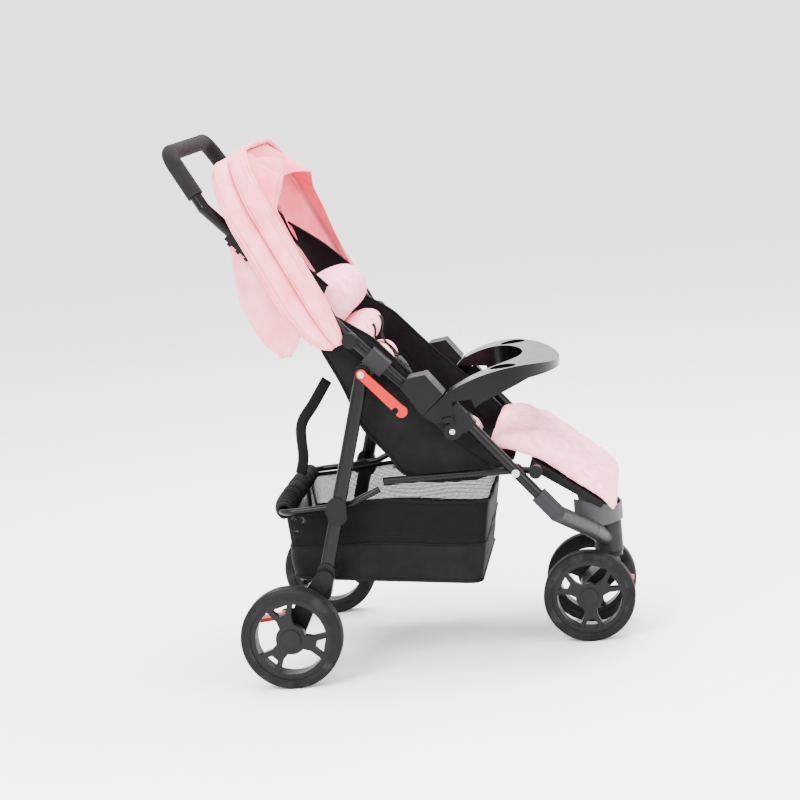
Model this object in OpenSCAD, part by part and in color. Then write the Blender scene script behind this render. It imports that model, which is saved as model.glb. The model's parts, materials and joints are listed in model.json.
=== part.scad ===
// Three-wheel folding baby stroller.
// +X is the travel direction, +Y the stroller's left side, +Z up.
// The origin is on the floor, under the middle of the stroller.

/* [Frame] */
// Height of the handle's crossbar
handle_height = 969; // [900:1:1040]
// Distance of the crossbar behind the origin
handle_reach = 375; // [330:1:420]
// Half the distance between the handle's two side tubes
handle_half_width = 205; // [190:1:240]
// Half the width of the crossbar between its corners
grip_half_width = 184; // [150:1:186]
// Outer radius of the handle's tube
handle_tube_r = 11; // [9:0.5:13]
// Outer radius of the front tubes
front_tube_r = 10; // [8:0.5:12]
// Wall of every steel tube
tube_wall = 1.5; // [1:0.1:2.5]
// Long side of a rear leg's oval section
leg_depth = 26; // [20:1:30]
// Short side of a rear leg's oval section
leg_width = 16; // [12:1:18]
// Radius of the handle's foam grip
grip_r = 15; // [13.5:0.5:18]

/* [Wheels] */
// Radius of the rear wheels
rear_wheel_r = 92; // [76:1:112]
// Width of a rear tyre
rear_tyre_w = 42; // [30:1:50]
// Radius of the front wheels
front_wheel_r = 85; // [70:1:96]
// Width of a front tyre
front_tyre_w = 36; // [28:1:44]
// Half the distance between the two front wheels
front_half_track = 74; // [70:1:90]
// Radius of the wheel axles
axle_r = 5; // [4:0.5:7]
// Distance of the front axle behind the swivel stem
caster_trail = 40; // [30:1:50]
// Radius of the swivel stem
stem_r = 8; // [6:0.5:10]

/* [Seat] */
// Half the width of the backrest
back_half_width = 158; // [130:1:165]
// Length of the backrest's board
back_length = 350; // [290:5:420]
// Thickness of the backrest's pad
back_pad_t = 62; // [45:1:75]
// Thickness of the seat cushion
cushion_t = 55; // [40:1:66]
// Thickness of boards and panels
board_t = 10; // [8:1:12]
// Length of the leg rest
leg_rest_length = 135; // [110:1:160]

/* [Canopy] */
// Distance of the canopy's crown from its hubs
canopy_reach = 398; // [340:1:440]
// Depth of the folded canopy's side band
canopy_band = 42; // [34:1:50]
// Radius of the canopy's bow wires
bow_r = 2.5; // [2:0.5:3]

/* [Basket] */
// Height of the basket's bottom above the floor
basket_floor_z = 150; // [120:1:180]
// Half the width of the basket
basket_half_width = 196; // [170:1:197]

/* [Tray] */
// Outer radius of the tray's front edge
tray_r = 250; // [240:1:260]
// Width of the tray's deck at the middle
tray_deck = 68; // [50:1:90]
// Radius of the cup recess
cup_r = 24; // [18:1:28]

/* [Hidden] */
$fn = 48;

// Clearances
run = 0.05;      // radial clearance of a pin or axle that turns in its bore
fix = 0.02;      // radial clearance of a bar that is held in its socket
side_gap = 0.6;  // sideways gap between plates that pass each other

// Joint centres in the side view, [x, z]
leg_pivot = [-57, 555];    // rear leg on the handle frame, and the red hook
fold_pivot = [95, 439];    // front frame on the arm housing
rail_pivot = [201, 356];   // seat rail on the front tube
rest_pivot = [235, 352];   // leg rest on the seat rail
back_pivot = [-27, 393];   // backrest on the handle frame
handle_bend = [-316, 869]; // where the grip's side turns into the straight side tube
handle_end = [30, 505];    // lower end of the handle's side tube
hub_at = [-74, 614];       // canopy hub
front_tube_top = [104, 473.2];
front_tube_low = [262, 283.8];
rear_axle_at = [-223, rear_wheel_r];
swivel_x = 347;
front_axle_at = [swivel_x - caster_trail, front_wheel_r];

// Sideways planes, each the distance from the middle plane
plane_gap = 1;
rail_r = 7;
rail_y = handle_half_width + 1;
leg_in = handle_half_width + handle_tube_r + 4.5;
leg_out = leg_in + leg_width;
leg_y = leg_in + leg_width / 2;
bracket_wall = 1.7;
bracket_in = handle_half_width + handle_tube_r + 0.8;
front_y = bracket_in + bracket_wall + front_tube_r;
bracket_out = front_y + front_tube_r + bracket_wall;
skirt_in = bracket_out + plane_gap;
housing_out = skirt_in + 5.8;
hook_in = max(housing_out, leg_out) - 1.5;
hook_t = 5;
wheel_in = hook_in + hook_t + 0.5;
rear_wheel_y = wheel_in + rear_tyre_w / 2;
front_wheel_in = front_half_track - front_tyre_w / 2;
panel_y = handle_half_width - handle_tube_r - 13;

pin_r = 4;
fold_pin_r = 5;
tube_dir = unit(handle_bend - handle_end);
leg_dir = unit([-0.2785, -1]);
front_dir = unit(front_tube_low - front_tube_top);

function unit(v) = v / norm(v);
function turn_of(d) = atan2(d[1], d[0]);
// A point of the side view, at a distance y from the middle plane
function at(p, y) = [p[0], y, p[1]];
function along(p, d, s) = p + d * s;

// ---- Shared shapes ----

// Straight round bar from point a to point b
module rod(a, b, r) {
  d = b - a;
  translate(a)
    rotate([0, acos(d[2] / norm(d)), atan2(d[1], d[0])])
      cylinder(h = norm(d), r = r);
}

// Straight round tube from point a to point b
module pipe(a, b, r, wall) {
  difference() {
    rod(a, b, r);
    rod(a - unit(b - a), b + unit(b - a), r - wall);
  }
}

// Bar across the stroller, between two distances from the middle plane
module pin(p, y0, y1, r) {
  rod(at(p, y0), at(p, y1), r);
}

// Flat shape of the side view, given thickness from y0 to y1
module plate(y0, y1) {
  translate([0, y1, 0])
    rotate([90, 0, 0])
      linear_extrude(y1 - y0)
        children();
}

// Outline with two round ends, its straight sides a hair inside them
waist = 0.97;
module capsule(a, b, r) {
  translate(a) circle(r);
  translate(b) circle(r);
  translate(a) rotate(turn_of(b - a)) translate([0, -r * waist]) square([norm(b - a), 2 * r * waist]);
}

// Outline of even width along a line of points
module strip(points, r) {
  for (p = points) translate(p) circle(r);
  for (i = [1 : len(points) - 1])
    translate(points[i - 1]) rotate(turn_of(points[i] - points[i - 1]))
      translate([0, -r * waist]) square([norm(points[i] - points[i - 1]), 2 * r * waist]);
}

// Centre of the bend at corner b, and how far its ends lie from that corner
function bend_angle(a, b, c) = acos(unit(a - b) * unit(c - b));
function bend_back(a, b, c, bend_r) = bend_r / tan(bend_angle(a, b, c) / 2);

// Round bend of a bar at corner b, on the way from a to c
module bend(a, b, c, bend_r, r) {
  u = unit(a - b);
  v = unit(c - b);
  back = bend_back(a, b, c, bend_r);
  centre = b + unit(u + v) * bend_r / sin(bend_angle(a, b, c) / 2);
  e1 = unit(b + u * back - centre);
  far = b + v * back - centre;
  e2 = unit(far - e1 * (far * e1));
  e3 = cross(e1, e2);
  multmatrix([[e1[0], e2[0], e3[0], centre[0]], [e1[1], e2[1], e3[1], centre[1]],
    [e1[2], e2[2], e3[2], centre[2]], [0, 0, 0, 1]])
    rotate_extrude(angle = 180 - bend_angle(a, b, c))
      translate([bend_r, 0]) circle(r);
}

// Low ring of metal around a joint of two lengths
bead = 0.3;
module seam(p, d, r) {
  rod(p - d * 1.5, p + d * 1.5, r + bead);
}

// Round bar along points, with a bend radius at each inner point; 0 is a plain knuckle
module bent_bar(points, bends, r) {
  last = len(points) - 1;
  back = [for (i = [0 : last])
    (i == 0 || i == last || bends[i - 1] == 0) ? 0
      : bend_back(points[i - 1], points[i], points[i + 1], bends[i - 1])];
  for (i = [0 : last - 1]) {
    d = unit(points[i + 1] - points[i]);
    rod(points[i] + d * back[i], points[i + 1] - d * back[i + 1], r);
    if (back[i] > 0) seam(points[i] + d * back[i], d, r);
    if (back[i + 1] > 0) seam(points[i + 1] - d * back[i + 1], d, r);
  }
  for (i = [1 : last - 1])
    if (bends[i - 1] > 0) bend(points[i - 1], points[i], points[i + 1], bends[i - 1], r);
    else translate(points[i]) sphere(r + bead);
}

function mirrored(points) = [for (p = points) [p[0], -p[1], p[2]]];
function reversed(points) = [for (i = [len(points) - 1 : -1 : 0]) points[i]];

// The same piece on the stroller's left side
module left() {
  mirror([0, 1, 0]) children();
}

// The same piece on both sides
module both() {
  children();
  left() children();
}

// ---- Rear frame ----

leg_low = along(leg_pivot, leg_dir, 408);
leg_eye_r = 13;

module leg_section(grow) {
  half = (leg_depth - leg_width) / 2;
  r = leg_width / 2 + grow;
  for (x = [-half, half]) translate([x, 0]) circle(r);
  square([2 * half, 2 * r], center = true);
}

// Oval bar along the rear leg, between two distances from its pivot
module leg_bar(from, to, grow) {
  translate(at(along(leg_pivot, leg_dir, from), -leg_y))
    rotate([0, 180 + atan2(-leg_dir[0], -leg_dir[1]), 0])
      linear_extrude(to - from)
        leg_section(grow);
}

module rear_leg_right() {
  eye_depth = 18;
  color([0.05, 0.05, 0.06])
  difference() {
    union() {
      leg_bar(0, norm(leg_low - leg_pivot), 0);
      plate(-leg_out, -leg_in) translate(leg_pivot) circle(leg_eye_r);
    }
    leg_bar(eye_depth, norm(leg_low - leg_pivot) + 1, -tube_wall);
    pin(leg_pivot, -leg_out - 1, -leg_in + 1, pin_r + run);
  }
}

crossbar_at = [rear_axle_at[0] + 25, rear_axle_at[1] + 50];
crossbar_r = 9;
foot_in = leg_in - 8.5;
foot_out = wheel_in - 2.5;
pedal_at = [rear_axle_at[0] - 19, rear_axle_at[1] + 30];
pedal_pin_r = 3;
ear_t = 5.5;

module rear_foot_right() {
  socket = 26;
  collar = along(leg_low, -leg_dir, socket + 12);
  color([0.1, 0.1, 0.11])
  difference() {
    union() {
      plate(-foot_out, -foot_in) {
        capsule(rear_axle_at, crossbar_at, 18);
        capsule(crossbar_at, along(leg_low, -leg_dir, socket), 17);
      }
      plate(-leg_out - 3, -leg_in + 3) capsule(leg_low, collar, 17);
      plate(-foot_in, -foot_in + ear_t) capsule(crossbar_at + [-14, -20], pedal_at, 8);
      pin(pedal_at, -foot_out + 4, -foot_in, pedal_pin_r);
    }
    leg_bar(0, norm(leg_low - leg_pivot), fix);
    pin(rear_axle_at, -foot_out - 1, -foot_in + 1, axle_r + fix);
  }
}

module rear_axle() {
  end = rear_wheel_y + rear_tyre_w / 2 - cap_t - 1;
  color([0.7, 0.7, 0.72]) pin(rear_axle_at, -end, end, axle_r);
}

module rear_crossbar() {
  end = foot_in - ear_t - fix;
  color([0.05, 0.05, 0.06])
  difference() {
    pin(crossbar_at, -end, end, crossbar_r);
    pin(crossbar_at, -end - 1, end + 1, crossbar_r - tube_wall);
  }
}

basket_rail_r = 6;
basket_rail_pts = [[-48, 339], [-100, 316], [-142, 311], [-236, 306]];
rail_bracket_at = along(leg_pivot, leg_dir, 256);

module basket_rail() {
  near = [for (p = basket_rail_pts) at(p, -rail_y)];
  color([0.06, 0.06, 0.07])
    bent_bar(concat(near, reversed(mirrored(near))), [0, 0, 30, 30, 0, 0], basket_rail_r);
}

module rail_brackets() {
  color([0.1, 0.1, 0.11])
  both()
  difference() {
    union() {
      plate(-leg_in + fix, -rail_y + basket_rail_r + 3)
        capsule(rail_bracket_at, rail_bracket_at + [-14, -2], 11);
      plate(-leg_out - 3, -leg_in + fix) capsule(rail_bracket_at + [0, 8], rail_bracket_at - [0, 8], 18);
    }
    leg_bar(0, norm(leg_low - leg_pivot), fix);
    basket_rail_hole();
  }
}

module basket_rail_hole() {
  near = [for (p = basket_rail_pts) at(p, -rail_y)];
  rod(near[1], near[2], basket_rail_r + fix);
  rod(near[2], near[3], basket_rail_r + fix);
  translate(near[2]) sphere(basket_rail_r + bead + fix);
}

// Outline of the basket in the side view, shrunk by its wall
basket_rear_x = -226;
basket_front_x = 122;
module basket_outline(wall) {
  polygon([[basket_rear_x + wall, basket_floor_z + 32 + wall], [basket_front_x - wall, basket_floor_z + wall],
    [basket_front_x + 26 - wall, basket_floor_z + 150], [basket_front_x - 40 - wall, basket_floor_z + 150],
    [-60, basket_floor_z + 150], [-142, basket_floor_z + 148], [basket_rear_x - 8 + wall, basket_floor_z + 145]]);
}

module basket_bag() {
  wall = 4;
  color([0.07, 0.07, 0.08])
  difference() {
    plate(-basket_half_width, basket_half_width) basket_outline(0);
    plate(-basket_half_width + wall, basket_half_width - wall) {
      basket_outline(wall);
      translate([basket_rear_x, basket_floor_z + 140]) square([400, 30]);
    }
  }
}

module recline_strap() {
  color([0.06, 0.06, 0.06])
    plate(-12, 12) strip([[-155, 512], [-212, 430], [-222, 340]], 2);
}

// ---- Wheels ----

tyre_share = 0.19; // depth of the tyre as a share of the wheel's radius
rim_share = 0.11;  // depth of the rim's ring
cap_t = 2;         // wall of the hub's closed end

// Tyre around the Y axis at the origin, with rounded shoulders
module tyre(wheel_r, w) {
  depth = wheel_r * tyre_share;
  shoulder = min(depth, w) * 0.42;
  rotate([90, 0, 0])
    rotate_extrude($fn = 96)
      translate([wheel_r - depth, -w / 2]) {
        square([depth - shoulder, w]);
        translate([0, shoulder]) square([depth, w - 2 * shoulder]);
        for (y = [shoulder, w - shoulder]) translate([depth - shoulder, y]) circle(shoulder);
      }
}

module spokes(wheel_r) {
  ring_in = wheel_r * (1 - tyre_share - rim_share);
  difference() {
    for (turn = [90, 210, 330])
      rotate(turn)
        polygon([[0, -0.13 * wheel_r], [0.42 * wheel_r, -0.15 * wheel_r], [ring_in + 3, -0.3 * wheel_r],
          [ring_in + 3, 0.3 * wheel_r], [0.42 * wheel_r, 0.15 * wheel_r], [0, 0.13 * wheel_r]]);
    for (turn = [90, 210, 330])
      rotate(turn)
        polygon([[0.5 * wheel_r, -0.07 * wheel_r], [ring_in - 3, -0.16 * wheel_r],
          [ring_in - 3, 0.16 * wheel_r], [0.5 * wheel_r, 0.07 * wheel_r]]);
  }
  circle(0.3 * wheel_r);
}

// Rim around the Y axis at the origin, its closed hub cap towards -Y
module rim(wheel_r, w, spin) {
  ring_out = wheel_r * (1 - tyre_share) - fix;
  ring_in = wheel_r * (1 - tyre_share - rim_share);
  spoke_t = 14;
  face = w / 2 - 3;
  rotate([0, spin, 0])
  difference() {
    union() {
      plate(-face, face)
        difference() {
          circle(ring_out, $fn = 96);
          circle(ring_in, $fn = 96);
        }
      plate(-face, -face + spoke_t) spokes(wheel_r);
      plate(-w / 2, w / 2) circle(0.19 * wheel_r);
    }
    // blind bore: a closed cap hides the end of the axle
    rod([0, -w / 2 + cap_t, 0], [0, w / 2 + 1, 0], axle_r + run);
  }
}

module rear_tyre_right() {
  color([0.13, 0.13, 0.14]) translate(at(rear_axle_at, -rear_wheel_y)) tyre(rear_wheel_r, rear_tyre_w);
}

module rear_rim_right() {
  color([0.2, 0.2, 0.21]) translate(at(rear_axle_at, -rear_wheel_y)) rim(rear_wheel_r, rear_tyre_w, -15);
}

module front_tyre_right() {
  color([0.13, 0.13, 0.14]) translate(at(front_axle_at, -front_half_track)) tyre(front_wheel_r, front_tyre_w);
}

module front_rim_right() {
  color([0.2, 0.2, 0.21]) translate(at(front_axle_at, -front_half_track)) rim(front_wheel_r, front_tyre_w, 60);
}

module brake_pedal_right() {
  tip = pedal_at + [-44, -4];
  color([0.8, 0.12, 0.12])
  difference() {
    union() {
      plate(-foot_out + 4.5, -foot_in - 1) {
        translate(pedal_at) circle(7);
        capsule(pedal_at + [-6, 0], tip, 3.5);
      }
    }
    pin(pedal_at, -foot_out, -foot_in + 1, pedal_pin_r + run);
  }
}

// ---- Handle frame ----

handle_pts = [at(handle_end, -handle_half_width), at(handle_bend, -handle_half_width),
  [-handle_reach, -grip_half_width, handle_height]];
handle_path = concat(handle_pts, reversed(mirrored(handle_pts)));
corner_bend = 34;

module handle_tube() {
  color([0.05, 0.05, 0.06])
  difference() {
    bent_bar(handle_path, [0, corner_bend, corner_bend, 0], handle_tube_r);
    // the side tubes are hollow up to their knuckle
    both()
      rod(at(along(handle_end, tube_dir, -1), -handle_half_width),
        at(along(handle_bend, -tube_dir, 12), -handle_half_width), handle_tube_r - tube_wall);
    both() pin(hub_at, -handle_half_width - 20, -handle_half_width, pin_r);
  }
}

module handle_grip() {
  start = handle_pts[2] + unit(handle_pts[1] - handle_pts[2]) * 92;
  grip_pts = [start, handle_pts[2]];
  grip_path = concat(grip_pts, reversed(mirrored(grip_pts)));
  color([0.16, 0.16, 0.17])
  difference() {
    bent_bar(grip_path, [corner_bend, corner_bend], grip_r);
    bent_bar(handle_path, [0, corner_bend, corner_bend, 0], handle_tube_r + fix);
  }
}

sleeve_in = handle_half_width - handle_tube_r - 2;
sleeve_out = leg_in - 1;
sleeve_at = along(handle_end, tube_dir, 90);

// Round hole for the straight side tube of the handle
module side_tube_hole(grow) {
  rod(at(along(handle_end, tube_dir, -40), -handle_half_width),
    at(handle_bend, -handle_half_width), handle_tube_r + grow);
}

module tube_sleeves() {
  sleeve_len = 42;
  color([0.2, 0.2, 0.21])
  both()
  difference() {
    plate(-sleeve_out, -sleeve_in) {
      translate(sleeve_at) rotate(turn_of(tube_dir)) square([sleeve_len, 32], center = true);
      capsule(sleeve_at, leg_pivot, 14);
    }
    side_tube_hole(fix);
    pin(leg_pivot, -sleeve_out - 1, -sleeve_in + 1, pin_r + fix);
  }
}

module leg_pins() {
  head_r = 7;
  color([0.5, 0.5, 0.52])
  both() {
    pin(leg_pivot, -hook_in - hook_t - 0.2, -sleeve_in - 4, pin_r);
    pin(leg_pivot, -hook_in + 0.2, -leg_out - 0.3, head_r);
    pin(leg_pivot, -hook_in - hook_t - 2, -hook_in - hook_t - 0.2, head_r - 1);
  }
}

// Flat side of the housing that joins the handle's tube to the fold pivot
module arm_housing_right() {
  cheek_out = bracket_in - 0.5;
  cheek_in = handle_half_width - handle_tube_r - 4;
  color([0.09, 0.09, 0.1])
  difference() {
    union() {
      plate(-cheek_out, -cheek_in) {
        polygon([[10, 525], [22, 541], [56, 546], [85, 508], [62, 484], [103, 454], [80, 430], [45, 472]]);
        translate(fold_pivot) circle(17);
      }
      plate(-housing_out, -cheek_out)
        polygon([[10, 525], [22, 541], [56, 546], [85, 508], [45, 472]]);
    }
    side_tube_hole(fix);
    plate(-bracket_out - plane_gap, -cheek_out) translate(fold_pivot) circle(50);
    pin(fold_pivot, -housing_out, -cheek_in + 1, fold_pin_r + fix);
  }
}

// Sliding catch on the handle's side tube, which frees the fold
catch_at = along(handle_end, tube_dir, 405);

module fold_catch_right() {
  catch_len = 66;
  color([0.08, 0.08, 0.09])
  difference() {
    plate(-handle_half_width - handle_tube_r - 3, -handle_half_width + handle_tube_r + 3) {
      translate(catch_at) rotate(turn_of(tube_dir)) square([catch_len, 30], center = true);
      for (s = [-0.3, 0, 0.3])
        translate(along(catch_at, tube_dir, s * catch_len)) rotate(turn_of(tube_dir))
          translate([0, 15]) square([8, 8], center = true);
    }
    side_tube_hole(run);
  }
}

bow_y = leg_out - 6;
hub_out = bow_y + bow_r + 4;

module canopy_hubs() {
  hub_r = 14;
  inner = handle_half_width + handle_tube_r + 0.3;
  color([0.07, 0.07, 0.08])
  both()
  difference() {
    union() {
      pin(hub_at, -bow_y + bow_r + 0.5, -inner, hub_r);
      pin(hub_at, -hub_out, -inner, pin_r);
      pin(hub_at, -hub_out, -bow_y - bow_r - 0.5, hub_r);
      pin(hub_at, -inner, -handle_half_width + 4, pin_r - fix);
    }
    side_tube_hole(0.01);
  }
}

// Bow wire: a hoop over the stroller, tilted by an angle from upright
module bow(reach, tilt, half, eye) {
  crown = 120;
  start = 24;
  pts = [[0, -half, start], [0, -half, reach], [0, half, reach], [0, half, start]];
  translate(at(hub_at, 0))
    rotate([0, tilt, 0]) {
      bent_bar(pts, [crown, crown], bow_r);
      if (eye)
        for (s = [-1, 1])
          difference() {
            union() {
              rod([0, s * half - bow_r, 0], [0, s * half + bow_r, 0], 9);
              rod([0, s * half, 6], [0, s * half, start + 1], bow_r);
            }
            rod([0, s * half - bow_r - 1, 0], [0, s * half + bow_r + 1, 0], pin_r + run);
          }
    }
}

rear_bow_tilt = -34;
front_bow_tilt = -26;

module canopy_front_bow() {
  color([0.1, 0.1, 0.1]) bow(canopy_reach - 8, front_bow_tilt, bow_y, true);
}

module canopy_rear_bow() {
  reach = canopy_reach - 24;
  color([0.1, 0.1, 0.1])
  difference() {
    bow(reach, rear_bow_tilt, handle_half_width + handle_tube_r + bow_r + 0.4, false);
    both() pin(hub_at, -hub_out, 0, 14.5);
  }
}

// Stack of folded canopy cloth: a deep arch between the two bows
module canopy_hood() {
  skin = 5;
  side = bow_y - bow_r - skin - 0.4;
  tilt = (rear_bow_tilt + front_bow_tilt) / 2;
  top = canopy_reach;
  crown = 118;
  color([0.96, 0.8, 0.83])
  translate(at(hub_at, 0))
    rotate([0, tilt, 0])
      translate([-canopy_band / 2, 0, 0])
        rotate([90, 0, 90])
          linear_extrude(canopy_band * 0.72)
            difference() {
              arch(bow_y - bow_r - 0.5, top - 14, crown);
              arch(side, top - 14 - skin, crown - skin);
              translate([-400, -10]) square([800, 60]);
            }
}

// Upright arch from the ground line, with round shoulders
module arch(half, top, shoulder) {
  translate([-half, 0]) square([2 * half, top - shoulder]);
  translate([-half + shoulder, 0]) square([2 * (half - shoulder), top]);
  for (s = [-1, 1]) translate([s * (half - shoulder), top - shoulder]) circle(shoulder);
}

module rear_flap() {
  half = handle_half_width - handle_tube_r - 12;
  color([0.96, 0.8, 0.83])
    plate(-half, half) strip([[-272, 815], [-262, 700], [-215, 610]], 5);
}

module seat_sides() {
  panel_t = 5;
  color([0.08, 0.08, 0.09])
  both()
    plate(-panel_y - panel_t, -panel_y)
      polygon([[-120, 665], [-40, 612], [20, 545], [70, 495], [118, 448], [188, 368], [158, 352],
        [129, 340], [41, 341], [-8, 360], [-27, 393], [-71, 446], [-103, 534], [-135, 600]]);
}

module latch_hook_right() {
  reach = 105;
  aim = unit([70, -76]);
  down = [aim[1], -aim[0]];
  tip = along(leg_pivot, aim, reach - 8);
  notch = tip + down * 6 - aim * 9;
  color([0.85, 0.12, 0.12])
    plate(-hook_in - hook_t, -hook_in)
      difference() {
        union() {
          translate(leg_pivot) circle(9);
          polygon([leg_pivot - aim * 3 + down * 8, tip + aim * 2 + down * 10,
            tip + aim * 2 - down * 10, leg_pivot - aim * 3 - down * 8]);
          translate(tip) circle(11);
        }
        translate(notch) circle(5.5);
        translate(notch) rotate(turn_of(down)) translate([0, -5.5]) square([30, 11]);
        translate(leg_pivot) circle(pin_r + run);
      }
}

// ---- Tray ----

tray_centre_x = 33;
tray_arc_centre = [205, 300];
tray_arc_r = 238;
cup_rim = 7;                                              // deck left around the cup recess
cup_reach = (tray_r - cup_rim - cup_r) * sqrt(0.5);       // recess centre, forwards and sideways
cup_floor = tray_arc_centre[1] + tray_arc_r - 16;
tray_button_at = [90, 462];
button_r = 5;
button_half = 5;

module tray_plan() {
  inner_r = tray_r - 45;
  difference() {
    intersection() {
      translate([tray_centre_x, 0]) circle(tray_r, $fn = 120);
      translate([40, -housing_out]) square([400, 2 * housing_out]);
    }
    translate([tray_centre_x + tray_r - tray_deck - inner_r, 0]) circle(inner_r, $fn = 120);
  }
}

module tray_side() {
  intersection() {
    translate(tray_arc_centre) circle(tray_arc_r, $fn = 120);
    polygon([[46, 471], [66, 457], [120, 466], [152, 485], [233, 512], [300, 512], [300, 560], [140, 560], [88, 508]]);
  }
}

module tray() {
  wall = 3;
  color([0.04, 0.04, 0.05])
  difference() {
    intersection() {
      plate(-300, 300) tray_side();
      linear_extrude(600) tray_plan();
    }
    for (s = [-1, 1])
      translate([tray_centre_x + cup_reach, s * cup_reach, cup_floor]) cylinder(r = cup_r, h = 30);
    // room for the fold hinge, behind the outer skirt
    both() {
      plate(-skirt_in, -150)
        polygon([[30, 440], [148, 440], [133, 493], [72, 493], [86.5, 508.4], [30, 515]]);
      plate(-housing_out - 1, -skirt_in + 1) capsule(tray_button_at - [button_half, 0],
        tray_button_at + [button_half, 0], button_r + 0.2);
      // clearance to the housing's slanted end face
      plate(-housing_out - 1, -150)
        polygon([[20, 560], [20, 440], [45.4, 471.7], [85.6, 507.5], [76, 560]]);
    }
    // hollow under the deck
    intersection() {
      plate(-230, 230) translate(tray_arc_centre) circle(tray_arc_r - 18, $fn = 120);
      translate([0, 0, 440])
        linear_extrude(150)
          difference() {
            translate([tray_centre_x, 0]) circle(tray_r - wall * 2, $fn = 120);
            translate([tray_centre_x + tray_r - tray_deck - (tray_r - 45), 0]) circle(tray_r - 45 + wall * 2, $fn = 120);
            translate([-200, -300]) square([360, 600]);
          }
    }
  }
}

module tray_button_right() {
  color([0.12, 0.12, 0.13])
    plate(-housing_out - 2.5, -skirt_in - 1.5)
      capsule(tray_button_at - [button_half, 0], tray_button_at + [button_half, 0], button_r);
}

// ---- Backrest ----

back_dir = unit([-0.469, 0.883]);
back_front = [back_dir[1], -back_dir[0]];

// Slab that lies along the backrest, from and to distances along it, and thickness from its back
module back_slab(from, to, t0, t1, half) {
  corner = along(back_pivot, back_dir, from) + back_front * t0;
  plate(-half, half)
    translate(corner) rotate(turn_of(back_dir))
      translate([0, -(t1 - t0)]) square([to - from, t1 - t0]);
}

module backrest_board() {
  color([0.07, 0.07, 0.08])
  difference() {
    union() {
      back_slab(0, back_length, 4, 4 + board_t, back_half_width);
      pin(back_pivot, -back_half_width, back_half_width, 6);
    }
    // slots for the shoulder straps
    for (s = [-1, 1], up = [0.62, 0.74])
      translate(at(along(back_pivot, back_dir, back_length * up) + back_front * 9, s * 55))
        rotate([0, 90 - turn_of(back_dir), 0]) cube([60, 32, 6], center = true);
  }
}

module backrest_pad() {
  color([0.97, 0.82, 0.85])
    back_slab(34, back_length + 14, 4.5 + board_t, 4.5 + board_t + back_pad_t, back_half_width - 6);
}

module shoulder_straps() {
  top = 4.8 + board_t + back_pad_t;
  color([0.06, 0.06, 0.06])
  for (s = [-1, 1])
    translate([0, s * 62, 0]) back_slab(95, 255, top, top + 3, 13);
}

module harness_buckle() {
  top = 8.2 + board_t + back_pad_t;
  color([0.05, 0.05, 0.05])
  back_slab(88, 130, top, top + 11, 26);
}

// ---- Front frame ----

module front_tube_right() {
  color([0.05, 0.05, 0.06])
  difference() {
    pipe(at(front_tube_top, -front_y), at(front_tube_low, -front_y), front_tube_r, tube_wall);
    pin(rail_pivot, -front_y - 20, -front_y + 20, pin_r);
  }
}

module hinge_brackets() {
  grip = along(front_tube_top, front_dir, 22);
  color([0.12, 0.12, 0.13])
  both()
  difference() {
    plate(-bracket_out, -bracket_in) {
      capsule(fold_pivot, grip, 15);
      translate(along(front_tube_top, front_dir, 14)) rotate(turn_of(front_dir)) square([50, 26], center = true);
    }
    rod(at(front_tube_top, -front_y), at(front_tube_low, -front_y), front_tube_r + fix);
    pin(fold_pivot, -bracket_out - 1, -bracket_in + 1, fold_pin_r + run);
  }
}

module fold_pins() {
  color([0.5, 0.5, 0.52])
  both()
    pin(fold_pivot, -bracket_out - 0.7, -handle_half_width + handle_tube_r, fold_pin_r);
}

nose_r = 15.5;
stem_top = 196;
nose_low = 152;
nose_hub_r = 27;
nose_pts = [at(along(front_tube_low, front_dir, -38), -front_y),
  at(along(front_tube_low, front_dir, 10), -front_y), [322, -95, 214], [swivel_x - 6, -22, 182]];

module nose_arm(grow) {
  bent_bar(nose_pts, [0, 0], nose_r + grow);
}

module nose() {
  color([0.3, 0.3, 0.31])
  difference() {
    union() {
      both() nose_arm(0);
      translate([swivel_x, 0, nose_low]) cylinder(r = nose_hub_r, h = stem_top + 10 - nose_low);
    }
    both() rod(at(front_tube_top, -front_y), at(front_tube_low, -front_y), front_tube_r + fix);
    translate([swivel_x, 0, nose_low - 1]) cylinder(r = stem_r + run, h = stem_top + 0.5 - nose_low + 1);
  }
}

shell_x = 290;
shell_r = 88;

// Scoop that guards the feet, with a floor and a raised front rim
module foot_shell() {
  wall = 3.5;
  floor_z = 214;
  color([0.45, 0.45, 0.46])
  difference() {
    translate([shell_x, 0, floor_z]) cylinder(r = shell_r, h = 64, $fn = 96);
    translate([shell_x, 0, floor_z + wall]) cylinder(r = shell_r - wall, h = 80, $fn = 96);
    translate([shell_x - 200, -200, floor_z - 1]) cube([202, 400, 100]);
    // rim falls from the sides to the front
    plate(-200, 200) polygon([[shell_x, 284], [shell_x, 272], [shell_x + 40, 258], [shell_x + 120, 232], [shell_x + 120, 290]]);
    both() nose_arm(0.3);
    translate([swivel_x, 0, nose_low]) cylinder(r = nose_hub_r + 0.2, h = 80);
  }
}

module rail_pins() {
  color([0.5, 0.5, 0.52])
  both() {
    pin(rail_pivot, -front_y - front_tube_r - 1, -rail_y + rail_r - 1, pin_r - fix);
    difference() {
      pin(rail_pivot, -front_y - front_tube_r - 3, -front_y - front_tube_r - 0.3, 7);
      rod(at(front_tube_top, -front_y), at(front_tube_low, -front_y), front_tube_r + fix);
    }
  }
}

// ---- Seat ----

seat_rail_back = [-40, 352];
rail_eye_half = rail_r + 0.5;
knob_in = rail_y + rail_eye_half + 0.3;

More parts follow.
